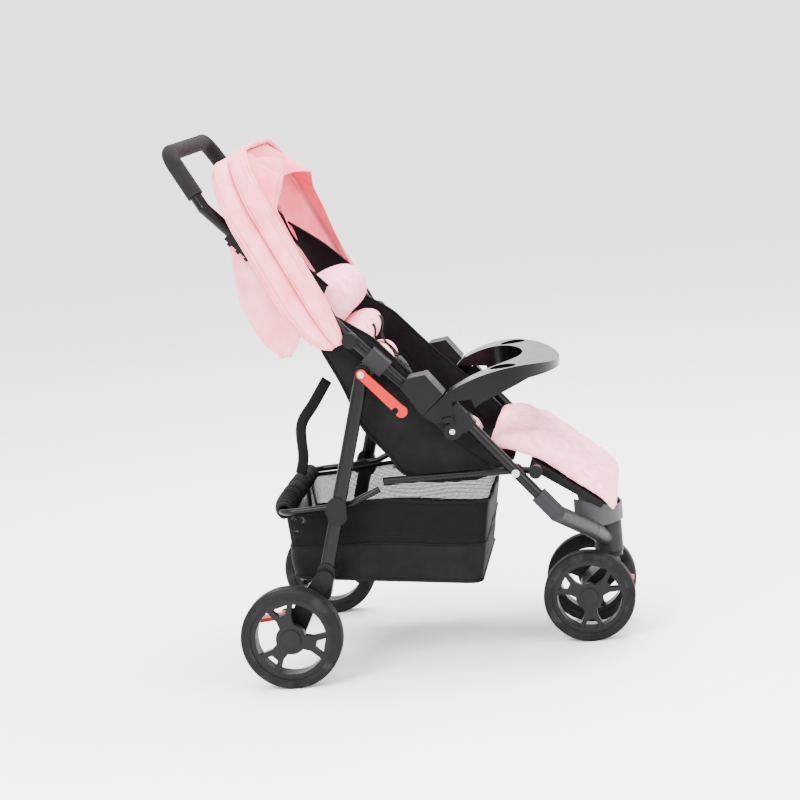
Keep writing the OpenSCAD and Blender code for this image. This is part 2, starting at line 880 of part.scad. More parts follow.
module seat_rails() {
  eye_r = 10.5;
  color([0.06, 0.06, 0.07])
  both()
  difference() {
    union() {
      rod(at(seat_rail_back, -rail_y), at(rail_pivot, -rail_y), rail_r);
      rod(at(rail_pivot, -rail_y), at(rest_pivot, -rail_y), rail_r - 0.4);
      for (p = [rail_pivot, rest_pivot]) pin(p, -rail_y - rail_eye_half, -rail_y + rail_eye_half, eye_r);
    }
    pin(rail_pivot, -rail_y - 12, -rail_y + 12, pin_r + run);
    pin(rest_pivot, -rail_y - 12, -rail_y + 12, pin_r + run);
  }
}

sling_top = rail_pivot[1] + 16;

module seat_sling() {
  color([0.08, 0.08, 0.09])
    translate([-8, -panel_y + 3, sling_top - board_t]) cube([208, 2 * (panel_y - 3), board_t]);
}

module seat_cushion() {
  color([0.97, 0.82, 0.85])
    plate(-back_half_width + 4, back_half_width - 4)
      difference() {
        union() {
          translate([40, sling_top + 0.5]) square([130, cushion_t]);
          capsule([148, sling_top + 0.5 + cushion_t * 0.6], [168, sling_top + 0.5 + cushion_t * 0.6], cushion_t * 0.6);
        }
        translate([0, sling_top - 60]) square([300, 60.5]);
      }
}

rest_dir = unit([115, -83]);
rest_up = [-rest_dir[1], rest_dir[0]];
rest_half = panel_y - 4;

module leg_rest_board() {
  color([0.08, 0.08, 0.09])
  difference() {
    union() {
      plate(-rest_half, rest_half) {
        translate(rest_pivot) circle(9);
        polygon([rest_pivot - rest_dir * 5 - rest_up * 5,
          along(rest_pivot, rest_dir, leg_rest_length) - rest_up * 3,
          along(rest_pivot, rest_dir, leg_rest_length) + rest_up * 8,
          rest_pivot - rest_dir * 3 + rest_up * 8]);
      }
    }
    pin(rest_pivot, -rest_half - 1, rest_half + 1, pin_r + fix);
  }
}

module leg_rest_knobs() {
  color([0.1, 0.1, 0.11])
  both() {
    pin(rest_pivot, -knob_in, -rest_half + 30, pin_r);
    pin(rest_pivot, -knob_in - 9, -knob_in, 12);
  }
}

module leg_rest_liner() {
  low = along(rest_pivot, rest_dir, leg_rest_length + 12);
  color([0.98, 0.86, 0.89])
    plate(-rest_half + 12, rest_half - 12)
      polygon([along(rest_pivot, rest_dir, 12) + rest_up * 8.6, along(rest_pivot, rest_dir, 2) + rest_up * 46,
        along(rest_pivot, rest_dir, 60) + rest_up * 52, low + rest_up * 30, low + rest_up * 8.6]);
}

// ---- Front caster ----

fork_in = front_wheel_in - 6;
fork_r = 19;
fork_top = [swivel_x, front_wheel_r + 36];
lever_at = fork_top + [18, -19];
lever_pin_r = 2.5;
lever_eye_r = 5.5;
lug_in = 18;
lug_out = 22;
stem_low = front_wheel_r + 28;

module caster_fork() {
  collar_r = 16;
  flange_r = 25;
  flange_t = 8;
  flange_top = nose_low - 1.5;
  color([0.1, 0.1, 0.11])
  difference() {
    union() {
      plate(-fork_in, fork_in) capsule(fork_top, front_axle_at, fork_r);
      translate([swivel_x, 0, fork_top[1]]) cylinder(r = collar_r, h = flange_top - 1 - fork_top[1]);
      translate([swivel_x, 0, flange_top - flange_t]) cylinder(r = flange_r, h = flange_t);
      // lugs for the lock's pin
      plate(-lug_out, -lug_in) capsule(fork_top - [0, 8], lever_at, lever_eye_r + 1);
      plate(lug_in, lug_out) capsule(fork_top - [0, 8], lever_at, lever_eye_r + 1);
    }
    translate([swivel_x, 0, stem_low]) cylinder(r = stem_r + fix, h = 80);
    pin(front_axle_at, -fork_in - 1, fork_in + 1, axle_r + fix);
    pin(lever_at, -lug_out - 1, lug_out + 1, lever_pin_r + run);
  }
}

module caster_stem() {
  color([0.72, 0.72, 0.74])
    translate([swivel_x, 0, stem_low]) cylinder(r = stem_r, h = stem_top - stem_low);
}

module front_axle() {
  end = front_half_track + front_tyre_w / 2 - cap_t - 1;
  color([0.7, 0.7, 0.72]) pin(front_axle_at, -end, end, axle_r);
}

module lock_lever() {
  half = lug_in - side_gap;
  color([0.85, 0.14, 0.1])
  union() {
    plate(-half, half) {
      translate(lever_at) circle(lever_eye_r);
      capsule(lever_at, lever_at + [21, -7], 3.2);
    }
    pin(lever_at, -lug_out, lug_out, lever_pin_r);
  }
}

rear_leg_right();
left() rear_leg_right();  // rear_leg_left
rear_foot_right();
left() rear_foot_right();  // rear_foot_left
rear_axle();
rear_crossbar();
rail_brackets();
basket_rail();
basket_bag();
recline_strap();
rear_tyre_right();
rear_rim_right();
left() rear_tyre_right();  // rear_tyre_left
left() rear_rim_right();  // rear_rim_left
brake_pedal_right();
left() brake_pedal_right();  // brake_pedal_left
handle_tube();
handle_grip();
tube_sleeves();
leg_pins();
arm_housing_right();
left() arm_housing_right();  // arm_housing_left
fold_catch_right();
left() fold_catch_right();  // fold_catch_left
canopy_hubs();
canopy_rear_bow();
seat_sides();
rear_flap();
latch_hook_right();
left() latch_hook_right();  // latch_hook_left
canopy_front_bow();
canopy_hood();
tray();
tray_button_right();
left() tray_button_right();  // tray_button_left
backrest_board();
backrest_pad();
shoulder_straps();
harness_buckle();
front_tube_right();
left() front_tube_right();  // front_tube_left
hinge_brackets();
fold_pins();
nose();
foot_shell();
rail_pins();
seat_rails();
seat_sling();
seat_cushion();
leg_rest_board();
leg_rest_knobs();
leg_rest_liner();
caster_fork();
caster_stem();
front_axle();
lock_lever();
front_tyre_right();
front_rim_right();
left() front_tyre_right();  // front_tyre_left
left() front_rim_right();  // front_rim_left
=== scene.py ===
# %% [markdown]
# # A folding baby stroller, dressed around its frame
# The metal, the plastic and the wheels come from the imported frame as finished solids.
# What is made here is all that is sewn or stuffed, the small moulded detail, and every finish.
# Each step says what the real piece is, and why it is made the way it is.

# %% Load the frame
import json
import math

import bmesh
import bpy
from mathutils import Matrix, Vector, geometry, noise


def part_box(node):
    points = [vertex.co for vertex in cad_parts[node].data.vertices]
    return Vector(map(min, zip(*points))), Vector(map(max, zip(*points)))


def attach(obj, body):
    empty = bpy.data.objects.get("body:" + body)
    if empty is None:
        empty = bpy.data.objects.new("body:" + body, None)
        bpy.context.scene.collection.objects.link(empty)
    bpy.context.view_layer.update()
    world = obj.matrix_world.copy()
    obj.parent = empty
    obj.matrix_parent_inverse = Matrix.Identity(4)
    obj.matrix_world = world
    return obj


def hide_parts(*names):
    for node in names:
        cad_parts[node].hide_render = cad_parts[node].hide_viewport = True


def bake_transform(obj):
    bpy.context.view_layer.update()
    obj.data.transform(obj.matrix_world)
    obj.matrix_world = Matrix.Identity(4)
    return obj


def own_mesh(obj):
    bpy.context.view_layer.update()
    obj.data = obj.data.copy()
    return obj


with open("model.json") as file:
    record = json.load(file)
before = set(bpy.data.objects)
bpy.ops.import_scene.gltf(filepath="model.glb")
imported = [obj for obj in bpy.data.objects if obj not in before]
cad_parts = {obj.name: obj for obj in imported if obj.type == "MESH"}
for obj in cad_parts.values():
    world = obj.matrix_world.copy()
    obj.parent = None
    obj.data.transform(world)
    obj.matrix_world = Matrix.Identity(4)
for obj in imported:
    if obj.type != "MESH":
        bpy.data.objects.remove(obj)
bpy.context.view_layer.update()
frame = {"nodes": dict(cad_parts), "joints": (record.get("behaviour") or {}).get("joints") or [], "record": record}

scene = bpy.context.scene
joint = {j["name"]: j for j in frame["joints"]}
MM = 0.001


def pivot(name):
    """The centre of a hinge of the frame."""
    return Vector(joint[name]["pos_m"])


hub = pivot("canopy_turn")
rest_at = pivot("leg_rest_turn")
back_at = pivot("recline")

# %% [markdown]
# ## Camera, floor and light
# The camera comes first. A long lens from far away keeps
# the tubes nearly parallel. The camera leans a little to one side, so its axes are built by hand.
# A pale floor and three broad lamps give the soft shadows of a studio.

# %% Camera
AIM = Vector((-0.021, 0.0, 0.465))
DISTANCE = 4.605
AZIMUTH, ELEVATION, LEAN = math.radians(6.69), math.radians(8.98), math.radians(-5.3)

level = Vector((math.cos(AZIMUTH), math.sin(AZIMUTH), 0.0))
back = Vector((math.sin(AZIMUTH) * math.cos(ELEVATION), -math.cos(AZIMUTH) * math.cos(ELEVATION),
               math.sin(ELEVATION)))
rise = back.cross(level)
camera_right = level * math.cos(LEAN) + rise * math.sin(LEAN)
camera_up = rise * math.cos(LEAN) - level * math.sin(LEAN)

camera_data = bpy.data.cameras.new("camera")
camera_data.lens = 110.5
camera_data.sensor_width = 36.0
camera = bpy.data.objects.new("camera", camera_data)
scene.collection.objects.link(camera)
camera.matrix_world = Matrix.Translation(AIM + back * DISTANCE) @ Matrix(
    (camera_right, camera_up, back)).transposed().to_4x4()
scene.camera = camera
print("camera at", [round(v, 2) for v in camera.location])


# %% Lamps and sky
def lamp(name, place, target, size, power):
    """A square soft box that looks at a target."""
    data = bpy.data.lights.new(name, "AREA")
    data.size = size
    data.energy = power
    made = bpy.data.objects.new(name, data)
    scene.collection.objects.link(made)
    made.location = place
    made.rotation_euler = (Vector(target) - Vector(place)).to_track_quat("-Z", "Y").to_euler()


lamp("key", (-1.6, -3.0, 2.9), (0, 0, 0.4), 1.8, 300)
lamp("fill", (2.6, -2.6, 1.6), (0.1, 0, 0.4), 2.0, 120)
lamp("top", (0.2, 0.6, 3.4), (0, 0, 0.3), 2.6, 330)

world = bpy.data.worlds.new("sky")
scene.world = world
world.use_nodes = True
world.node_tree.nodes["Background"].inputs["Color"].default_value = (1.0, 1.0, 1.0, 1.0)
world.node_tree.nodes["Background"].inputs["Strength"].default_value = 2.6

# %% [markdown]
# ## Finishes
# A finish is a small network of nodes. To keep it readable, one class wraps a socket, so that sums on
# sockets are written as sums, and another makes nodes with their settings and inputs in one call.
# Patterns follow the piece's own place in metres, or the cut of the cloth, so they ride with it.


# %% Sums on sockets
class Value:
    """A socket that can be used in ordinary sums."""

    def __init__(self, finish, socket):
        self.finish = finish
        self.socket = socket

    def maths(self, operation, *values):
        return self.finish.node("ShaderNodeMath", {"operation": operation}, dict(enumerate(values)))

    def __add__(self, other):
        return self.maths("ADD", self, other)

    def __radd__(self, other):
        return self.maths("ADD", other, self)

    def __sub__(self, other):
        return self.maths("SUBTRACT", self, other)

    def __rsub__(self, other):
        return self.maths("SUBTRACT", other, self)

    def __mul__(self, other):
        return self.maths("MULTIPLY", self, other)

    def __rmul__(self, other):
        return self.maths("MULTIPLY", other, self)

    def sine(self):
        return self.maths("SINE", self)

    def over(self, limit):
        return self.maths("GREATER_THAN", self, limit)


# %% Finishes as a class
class Finish:
    """A material whose nodes are made one call at a time."""

    def __init__(self, name, **fixed):
        self.material = bpy.data.materials.new(name)
        self.material.use_nodes = True
        self.tree = self.material.node_tree
        self.shader = self.tree.nodes["Principled BSDF"]
        for key, number in fixed.items():
            self.shader.inputs[key.replace("_", " ")].default_value = number
        self.place = self.node("ShaderNodeTexCoord", out="Object")

    def node(self, kind, settings=None, inputs=None, out=0):
        made = self.tree.nodes.new(kind)
        for key, setting in (settings or {}).items():
            setattr(made, key, setting)
        for key, value in (inputs or {}).items():
            if isinstance(value, Value):
                self.tree.links.new(value.socket, made.inputs[key])
            else:
                made.inputs[key].default_value = value
        return Value(self, made.outputs[out])

    def grain(self, scale, detail=3.0, at=None):
        return self.node("ShaderNodeTexNoise", {},
                         {"Vector": at or self.place, "Scale": scale, "Detail": detail})

    def mix(self, share, first, second):
        """From one colour to another."""
        return self.node("ShaderNodeMix", {"data_type": "RGBA"}, {0: share, 6: first, 7: second}, out=2)

    def stretch(self, value, low, high, to_low, to_high):
        """A range of values, stretched to another range."""
        return self.node("ShaderNodeMapRange", {}, {0: value, 1: low, 2: high, 3: to_low, 4: to_high})

    def cut_axes(self):
        """The two directions of the cloth's cut, in metres."""
        cut = self.node("ShaderNodeTexCoord", out="UV")
        across = self.node("ShaderNodeSeparateXYZ", {}, {0: cut}, out="X")
        along = self.node("ShaderNodeSeparateXYZ", {}, {0: cut}, out="Y")
        return across, along

    def bump(self, height, distance, strength=1.0):
        normal = self.node("ShaderNodeBump", {}, {"Height": height, "Distance": distance, "Strength": strength})
        self.tree.links.new(normal.socket, self.shader.inputs["Normal"])

    def surface(self, **links):
        for key, value in links.items():
            self.tree.links.new(value.socket, self.shader.inputs[key.replace("_", " ")])
        return self.material


def rgb(red, green, blue):
    """A screen colour, 0 to 255, as the linear colour that a shader takes."""
    def linear(v):
        v = v / 255
        return v / 12.92 if v <= 0.04045 else ((v + 0.055) / 1.055) ** 2.4
    return (linear(red), linear(green), linear(blue), 1.0)


# %% [markdown]
# The hard finishes: black painted tube, bare steel, foam, tyre foam, moulded plastics in four colours.
# Paint and plastic are nearly one colour, but their gloss is never even. Fingers, dust and the mould's
# grain change the roughness a little from place to place, and a fine bump breaks up the highlight.

# %% Hard finishes
def moulded(name, dark, light, rough, grain_scale, depth, **fixed):
    """Plastic or paint: two close tones in soft clouds, uneven gloss and a fine grain."""
    f = Finish(name, **fixed)
    clouds = f.grain(14.0, 4.0)
    smears = f.grain(55.0, 5.0)
    f.bump(f.grain(grain_scale, 2.0), depth, 0.6)
    return f.surface(Base_Color=f.mix(clouds, dark, light),
                     Roughness=f.stretch(smears, 0.3, 0.7, rough * 0.8, rough * 1.25))


def steel():
    """Bare steel: fine drawn lines and a few darker clouds."""
    f = Finish("bare_steel", Metallic=1.0)
    f.bump(f.grain(900.0, 2.0), 0.00003, 0.5)
    return f.surface(Base_Color=f.mix(f.grain(30.0), rgb(150, 150, 154), rgb(205, 205, 208)),
                     Roughness=f.stretch(f.grain(120.0), 0.3, 0.7, 0.2, 0.42))


def foam():
    """Closed-cell foam: matte, with small cells that show as pits."""
    f = Finish("grip_foam", Specular_IOR_Level=0.1)
    cells = f.node("ShaderNodeTexVoronoi", {}, {"Vector": f.place, "Scale": 700.0})
    f.bump(cells, 0.0004, 0.5)
    return f.surface(Base_Color=f.mix(f.grain(40.0), rgb(16, 15, 16), rgb(28, 26, 27)),
                     Roughness=f.stretch(f.grain(80.0), 0.3, 0.7, 0.75, 0.95))


def tyre_foam():
    """Foam tyre: dull dark grey, scuffed to a lighter tone in patches."""
    f = Finish("tyre_foam", Specular_IOR_Level=0.12)
    scuff = f.stretch(f.grain(38.0, 6.0), 0.5, 0.72, 0.0, 1.0)
    f.bump(f.grain(420.0, 4.0) + f.grain(60.0, 2.0), 0.0003, 0.7)
    return f.surface(Base_Color=f.mix(scuff, rgb(15, 14, 16), rgb(34, 32, 34)),
                     Roughness=f.stretch(f.grain(30.0), 0.3, 0.7, 0.55, 0.8))


hard = {
    "painted_tube": moulded("painted_tube", rgb(4, 4, 5), rgb(10, 10, 11), 0.24, 260.0, 0.00005,
        Specular_IOR_Level=0.14),
    "steel": steel(),
    "foam_grip": foam(),
    "tyre": tyre_foam(),
    "rim_plastic": moulded("rim_plastic", rgb(16, 15, 17), rgb(25, 24, 26), 0.4, 520.0, 0.00008,
        Specular_IOR_Level=0.1),
    "black_plastic": moulded("black_plastic", rgb(9, 9, 10), rgb(16, 16, 17), 0.42, 640.0, 0.0001,
        Specular_IOR_Level=0.1),
    "grey_plastic": moulded("grey_plastic", rgb(27, 26, 28), rgb(38, 36, 39), 0.42, 640.0, 0.0001,
        Specular_IOR_Level=0.1),
    "shell_plastic": moulded("shell_plastic", rgb(44, 44, 46), rgb(56, 56, 59), 0.42, 500.0, 0.0001,
        Specular_IOR_Level=0.2),
    "gloss_tray": moulded("gloss_tray", rgb(4, 4, 5), rgb(6, 6, 7), 0.16, 120.0, 0.00003,
        Specular_IOR_Level=0.12),
    "red_plastic": moulded("red_plastic", rgb(150, 2, 2), rgb(180, 6, 4), 0.34, 500.0, 0.00006,
        Specular_IOR_Level=0.2),
}

# %% [markdown]
# The cloths. Black and pink polyester are plain weaves, so two sine waves, one along each direction
# of the cut, make the threads. The colour follows the crease bump, darker where it dips: painted shade in the
# folds.
# The basket's net is the same two waves, used to open holes between the threads.


# %% Cloth finishes
def woven(name, dark, light, pitch, rough, **fixed):
    """Plain weave with threads at a pitch in metres."""
    f = Finish(name, **fixed)
    across, along = f.cut_axes()
    turns = 2 * math.pi / pitch
    threads = (across * turns).sine() * (along * turns).sine()
    creases = f.grain(24.0, 5.0)
    f.bump(threads * 0.12 + creases, 0.0012, 0.55)
    # Darker where the crease bump dips: painted shade in the folds.
    return f.surface(Base_Color=f.mix(f.stretch(creases, 0.3, 0.7, 0.0, 1.0), dark, light),
                     Roughness=f.stretch(threads, -1.0, 1.0, rough, rough + 0.12))


def stuffed(name, dark, light, rough):
    """Soft quilted cloth over wadding: fine fuzz and small puckers."""
    f = Finish(name, Subsurface_Weight=0.1, Subsurface_Scale=0.01)
    puckers = f.grain(60.0, 6.0)
    f.bump(puckers + f.grain(900.0, 2.0) * 0.25, 0.0016, 0.5)
    # The colour follows the puckers, darker where they dip: painted shade between the crowns.
    return f.surface(Base_Color=f.mix(f.stretch(puckers, 0.32, 0.68, 0.0, 1.0), dark, light),
                     Roughness=f.stretch(f.grain(30.0), 0.3, 0.7, rough, rough + 0.15))


def net():
    """Knitted net: threads that cross on the bias, with open holes between them."""
    f = Finish("black_net", Roughness=0.7, Specular_IOR_Level=0.08)
    across, along = f.cut_axes()
    turns = 2 * math.pi / 0.0046
    threads = ((across + along) * turns).sine() * ((across - along) * turns).sine()
    return f.surface(Base_Color=f.mix(f.grain(60.0), rgb(4, 4, 4), rgb(10, 10, 11)),
                     Alpha=f.node("ShaderNodeMath", {"operation": "LESS_THAN"}, {0: threads, 1: 0.6}))


def webbing():
    """Strap webbing: a ribbed weave across its length."""
    f = Finish("webbing", Specular_IOR_Level=0.1)
    across, along = f.cut_axes()
    ribs = (along * (2 * math.pi / 0.0016)).sine()
    f.bump(ribs, 0.0004, 0.7)
    return f.surface(Base_Color=f.mix(f.grain(50.0), rgb(6, 6, 6), rgb(14, 14, 15)),
                     Roughness=f.stretch(ribs, -1.0, 1.0, 0.6, 0.8))


black_cloth = woven("black_cloth", rgb(5, 5, 6), rgb(15, 15, 16), 0.0011, 0.66, Specular_IOR_Level=0.1)
pink_cloth = woven("pink_cloth", rgb(236, 112, 128), rgb(248, 158, 168), 0.0011, 0.6)
# A deeper copy of the pink for the canopy's inside, the lining and the visor: painted shade.
shaded_pink = woven("shaded_pink", rgb(232, 84, 104), rgb(244, 122, 138), 0.0011, 0.6)
pink_piping = woven("pink_piping", rgb(226, 110, 124), rgb(240, 146, 156), 0.0009, 0.6)
pink_padding = stuffed("pink_padding", rgb(238, 140, 158), rgb(250, 180, 192), 0.66)
black_net = net()
strap_web = webbing()

# %% Give every solid of the frame its finish
slot_of = {s["node"]: s["material_slot"] for s in frame["record"]["subparts"]}
for name, solid in frame["nodes"].items():
    solid.data.materials.clear()
    solid.data.materials.append(hard.get(slot_of[name], black_cloth))
print("finishes:", len(bpy.data.materials))

# %% Floor
floor_finish = Finish("floor", Roughness=0.9)
floor_finish.surface(
    Base_Color=floor_finish.mix(floor_finish.grain(3.0), rgb(250, 250, 250), rgb(253, 253, 253)))
floor_mesh = bpy.data.meshes.new("floor")
FLOOR = 9.0
floor_mesh.from_pydata([(-FLOOR, -FLOOR, 0), (FLOOR, -FLOOR, 0), (FLOOR, FLOOR, 0), (-FLOOR, FLOOR, 0)],
                       [], [(0, 1, 2, 3)])
floor_mesh.materials.append(floor_finish.material)
floor = bpy.data.objects.new("floor", floor_mesh)
scene.collection.objects.link(floor)

# %% [markdown]
# ## Sewing tools
# Cloth is laid out as rows of points, one row for each line across the cut. The cut's own size in metres
# goes into the UV map, so the weave keeps its scale. A finished piece is one plain mesh at the origin.


# %% Cloth from rows of points
def keep(name, mesh, finish, smooth=True):
    """A mesh as an object of the scene, in one finish."""
    mesh.materials.clear()
    mesh.materials.append(finish)
    mesh.polygons.foreach_set("use_smooth", [smooth] * len(mesh.polygons))
    made = bpy.data.objects.new(name, mesh)
    scene.collection.objects.link(made)
    return made


def settle(piece):
    """Applies the piece's modifiers and leaves one plain mesh, its faces pointing outwards."""
    bpy.context.view_layer.update()
    final = bpy.data.meshes.new_from_object(piece.evaluated_get(bpy.context.evaluated_depsgraph_get()))
    piece.modifiers.clear()
    piece.data = final
    turned = bmesh.new()
    turned.from_mesh(final)
    bmesh.ops.recalc_face_normals(turned, faces=turned.faces)
    turned.to_mesh(final)
    turned.free()
    return piece


def cloth(name, rows, finish, thick=1.2 * MM, ring=False, rounds=1):
    """A sheet through rows of points; ring joins each row's end to its start. Returns it with its cut size."""
    count = len(rows[0])
    mesh = bpy.data.meshes.new(name)
    points = [p for row in rows for p in row]
    steps = count if ring else count - 1
    faces = []
    for r in range(len(rows) - 1):
        for c in range(steps):
            n = (c + 1) % count
            faces.append((r * count + c, r * count + n, (r + 1) * count + n, (r + 1) * count + c))
    mesh.from_pydata(points, [], faces)
    along = [0.0]
    for r in range(1, len(rows)):
        along.append(along[-1] + (rows[r][count // 2] - rows[r - 1][count // 2]).length)
    middle = rows[len(rows) // 2]
    across = [0.0]
    for c in range(1, count + 1):
        across.append(across[-1] + (middle[c % count] - middle[c - 1]).length)
    layer = mesh.uv_layers.new(name="cut")
    for face in range(len(faces)):
        r, c = divmod(face, steps)
        corners = ((c, r), (c + 1, r), (c + 1, r + 1), (c, r + 1))
        for k, (u, v) in enumerate(corners):
            layer.data[face * 4 + k].uv = (across[u], along[v])
    piece = keep(name, mesh, finish)
    area = sum(p.area for p in mesh.polygons)
    wall = piece.modifiers.new("wall", "SOLIDIFY")
    wall.thickness = thick
    wall.offset = 0.0
    soft = piece.modifiers.new("soft", "SUBSURF")
    soft.levels = soft.render_levels = rounds
    settle(piece)
    width = across[count if ring else count - 1]
    print(name, "cut", round(width, 3), "by", round(along[-1], 3), "m")
    return piece, (width, along[-1]), area


def line_through(points, count, closed=False):
    """A smooth line through a few points, at even steps."""
    curve = []
    last = len(points)
    spans = last if closed else last - 1
    for s in range(spans):
        p0, p1, p2, p3 = (points[(s + k) % last] if closed else points[min(max(s + k, 0), last - 1)]
                          for k in (-1, 0, 1, 2))
        for k in range(12):
            t = k / 12
            curve.append(0.5 * ((2 * p1) + (p2 - p0) * t + (2 * p0 - 5 * p1 + 4 * p2 - p3) * t * t
                                + (3 * p1 - p0 - 3 * p2 + p3) * t ** 3))
    curve.append(points[0].copy() if closed else points[-1].copy())
    lengths = [0.0]
    for a, b in zip(curve, curve[1:]):
        lengths.append(lengths[-1] + (b - a).length)
    even, at = [], 0
    for k in range(count):
        target = lengths[-1] * k / (count if closed else count - 1)
        while at < len(curve) - 2 and lengths[at + 1] < target:
            at += 1
        gap = max(lengths[at + 1] - lengths[at], 1e-9)
        even.append(curve[at].lerp(curve[at + 1], (target - lengths[at]) / gap))
    return even


def rope(name, points, radius, finish, closed=False, sides=8, flat=1.0, face=None):
    """A piping cord or strap along a line: round, or flattened towards a face direction."""
    rows = []
    last = len(points)
    up = face or Vector((0, 1, 0))
    for i, p in enumerate(points):
        ahead = points[(i + 1) % last] if closed or i < last - 1 else p
        behind = points[i - 1] if closed or i > 0 else p
        way = (ahead - behind).normalized()
        side = way.cross(up)
        side = side.normalized() if side.length > 1e-4 else way.orthogonal().normalized()
        out = side.cross(way).normalized()
        rows.append([p + side * (radius * math.cos(a)) + out * (radius * flat * math.sin(a))
                     for a in (2 * math.pi * k / sides for k in range(sides))])
    mesh = bpy.data.meshes.new(name)
    faces = []
    rings = last if closed else last - 1
    for r in range(rings):
        for c in range(sides):
            n, s = (c + 1) % sides, (r + 1) % last
            faces.append((r * sides + c, r * sides + n, s * sides + n, s * sides + c))
    if not closed:
        faces.append(tuple(range(sides)))
        faces.append(tuple((last - 1) * sides + c for c in reversed(range(sides))))
    mesh.from_pydata([q for row in rows for q in row], [], faces)
    layer = mesh.uv_layers.new(name="cut")
    step = (points[1] - points[0]).length
    for polygon in mesh.polygons:
        for k in polygon.loop_indices:
            vertex = mesh.loops[k].vertex_index
            layer.data[k].uv = (radius * 2 * math.pi * (vertex % sides) / sides, step * (vertex // sides))
    piece = keep(name, mesh, finish)
    return settle(piece)


# %% [markdown]
# ## Stuffed pieces
# A stuffed piece starts as a closed block of even thickness. It is rebuilt from small cubes, its seams
# are held, and a cloth simulation blows it up like wadding does. Between the seams it crowns, and at
# the seams it puckers, which is hard to draw by hand. One subdivision then rounds the facets.


# %% Blow up a block like wadding
def stuff(name, block, finish, sewn, cap=0.012, voxel=0.006, pressure=4.0):
    """Swells a closed mesh. Points for which sewn(point) is true stay where they are."""
    piece = keep(name, block, finish)
    cubes = piece.modifiers.new("cubes", "REMESH")
    cubes.mode = "VOXEL"
    cubes.voxel_size = voxel
    settle(piece)
    rest = [v.co.copy() for v in piece.data.vertices]
    held = piece.vertex_groups.new(name="seams")
    held.add([i for i, p in enumerate(rest) if sewn(p)], 1.0, "REPLACE")
    cloth_step = piece.modifiers.new("wadding", "CLOTH")
    s = cloth_step.settings
    s.quality = 5
    s.mass = 0.3
    s.tension_stiffness = s.compression_stiffness = 12.0
    s.bending_stiffness = 0.6
    s.use_pressure = True
    s.uniform_pressure_force = pressure
    s.vertex_group_mass = "seams"
    s.effector_weights.gravity = 0.0
    cloth_step.point_cache.frame_start = 1
    cloth_step.point_cache.frame_end = 20
    for step in range(1, 21):
        scene.frame_set(step)
    swollen = piece.evaluated_get(bpy.context.evaluated_depsgraph_get()).to_mesh()
    moved = [v.co.copy() for v in swollen.vertices]
    piece.modifiers.clear()
    piece.vertex_groups.clear()
    scene.frame_set(1)
    for vertex, start, end in zip(piece.data.vertices, rest, moved):
        step = end - start
        vertex.co = start + step * min(1.0, cap / max(step.length, 1e-9))
    relax = piece.modifiers.new("relax", "SMOOTH")
    relax.factor = 0.5
    relax.iterations = 2
    soft = piece.modifiers.new("soft", "SUBSURF")
    soft.levels = soft.render_levels = 1
    settle(piece)
    print(name, "faces", len(piece.data.polygons))
    return piece


def block_between(under, over):
    """A closed block between two grids of points that have the same rows."""
    rows, count = len(under), len(under[0])
    points = [p for row in under for p in row] + [p for row in over for p in row]
    size = rows * count
    faces = []
    for r in range(rows - 1):
        for c in range(count - 1):
            a, b = r * count + c, (r + 1) * count + c
            faces.append((a, a + 1, b + 1, b))
            faces.append((size + a, size + b, size + b + 1, size + a + 1))
    edge = ([c for c in range(count)] + [r * count + count - 1 for r in range(1, rows)]
            + [(rows - 1) * count + c for c in range(count - 2, -1, -1)]
            + [r * count for r in range(rows - 2, 0, -1)])
    for a, b in zip(edge, edge[1:] + edge[:1]):
        faces.append((a, size + a, size + b, b))
    mesh = bpy.data.meshes.new("block")
    mesh.from_pydata(points, [], faces)
    return mesh


# %% [markdown]
# ## Backrest
# The backrest is a stiff board in black cloth with a pad of four fat rolls in front of it. A roll is
# a tube of wadding between two seams, so each is crowned across the seat and rounded at its ends.

# %% Backrest pad
back_way = Vector((-0.469, 0.0, 0.883)).normalized()
back_out = Vector((back_way.z, 0.0, -back_way.x))
pad_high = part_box("backrest_pad")[1]
PAD_HALF = pad_high.y
PAD_BACK = 18 * MM


def on_back(up, out, y):
    """A point by its distance up the backrest, out of its face and sideways."""
    return back_at + back_way * up + back_out * out + Vector((0, y, 0))


def roll_block(low, high, depth, half, bow=0.0):
    """A roll of wadding across the backrest, between two heights."""
    under, over = [], []
    for r in range(13):
        t = r / 12
        up = low + (high - low) * t
        swell = math.sqrt(max(0.0, 1 - (2 * t - 1) ** 2))
        row_under, row_over = [], []
        for c in range(41):
            s = 2 * c / 40 - 1
            side = math.sqrt(max(0.0, 1 - abs(s) ** 5))
            rise_here = bow * (1 - s * s)
            y = half * s
            row_under.append(on_back(up + rise_here, PAD_BACK, y))
            height = depth * (0.25 + 0.75 * swell) * (0.3 + 0.7 * side)
            dimple = sum(math.exp(-((y - at) / 0.014) ** 2 - ((t - 0.5) / 0.2) ** 2) for at in TUFTS)
            row_over.append(on_back(up + rise_here, PAD_BACK + 4 * MM + height - 9 * MM * dimple, y))
        under.append(row_under)
        over.append(row_over)
    return block_between(under, over)


rolls = [("back_roll_top", 0.244, 0.336, 0.082, 0.006), ("back_roll_middle", 0.178, 0.24, 0.066, 0.003),
         ("back_roll_low", 0.112, 0.174, 0.056, 0.002), ("back_roll_base", 0.05, 0.108, 0.042, 0.0)]
TUFTS = (-0.09, -0.03, 0.03, 0.09)
for roll_name, low, high, depth, bow in rolls:
    middle = (low + high) / 2

    def sewn(p, middle=middle):
        local = p - back_at
        up = local.dot(back_way) - middle
        out = local.dot(back_out)
        tuft = any(abs(p.y - y) < 5 * MM and abs(up) < 5 * MM for y in TUFTS)
        return out < PAD_BACK + 3 * MM or tuft

    roll = stuff(roll_name, roll_block(low, high, depth, PAD_HALF - 10 * MM, bow), pink_padding, sewn,
                 cap=0.014)
    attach(roll, "backrest")
    on_back(0, PAD_BACK, 0)
    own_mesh(roll)
    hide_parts("backrest_pad")

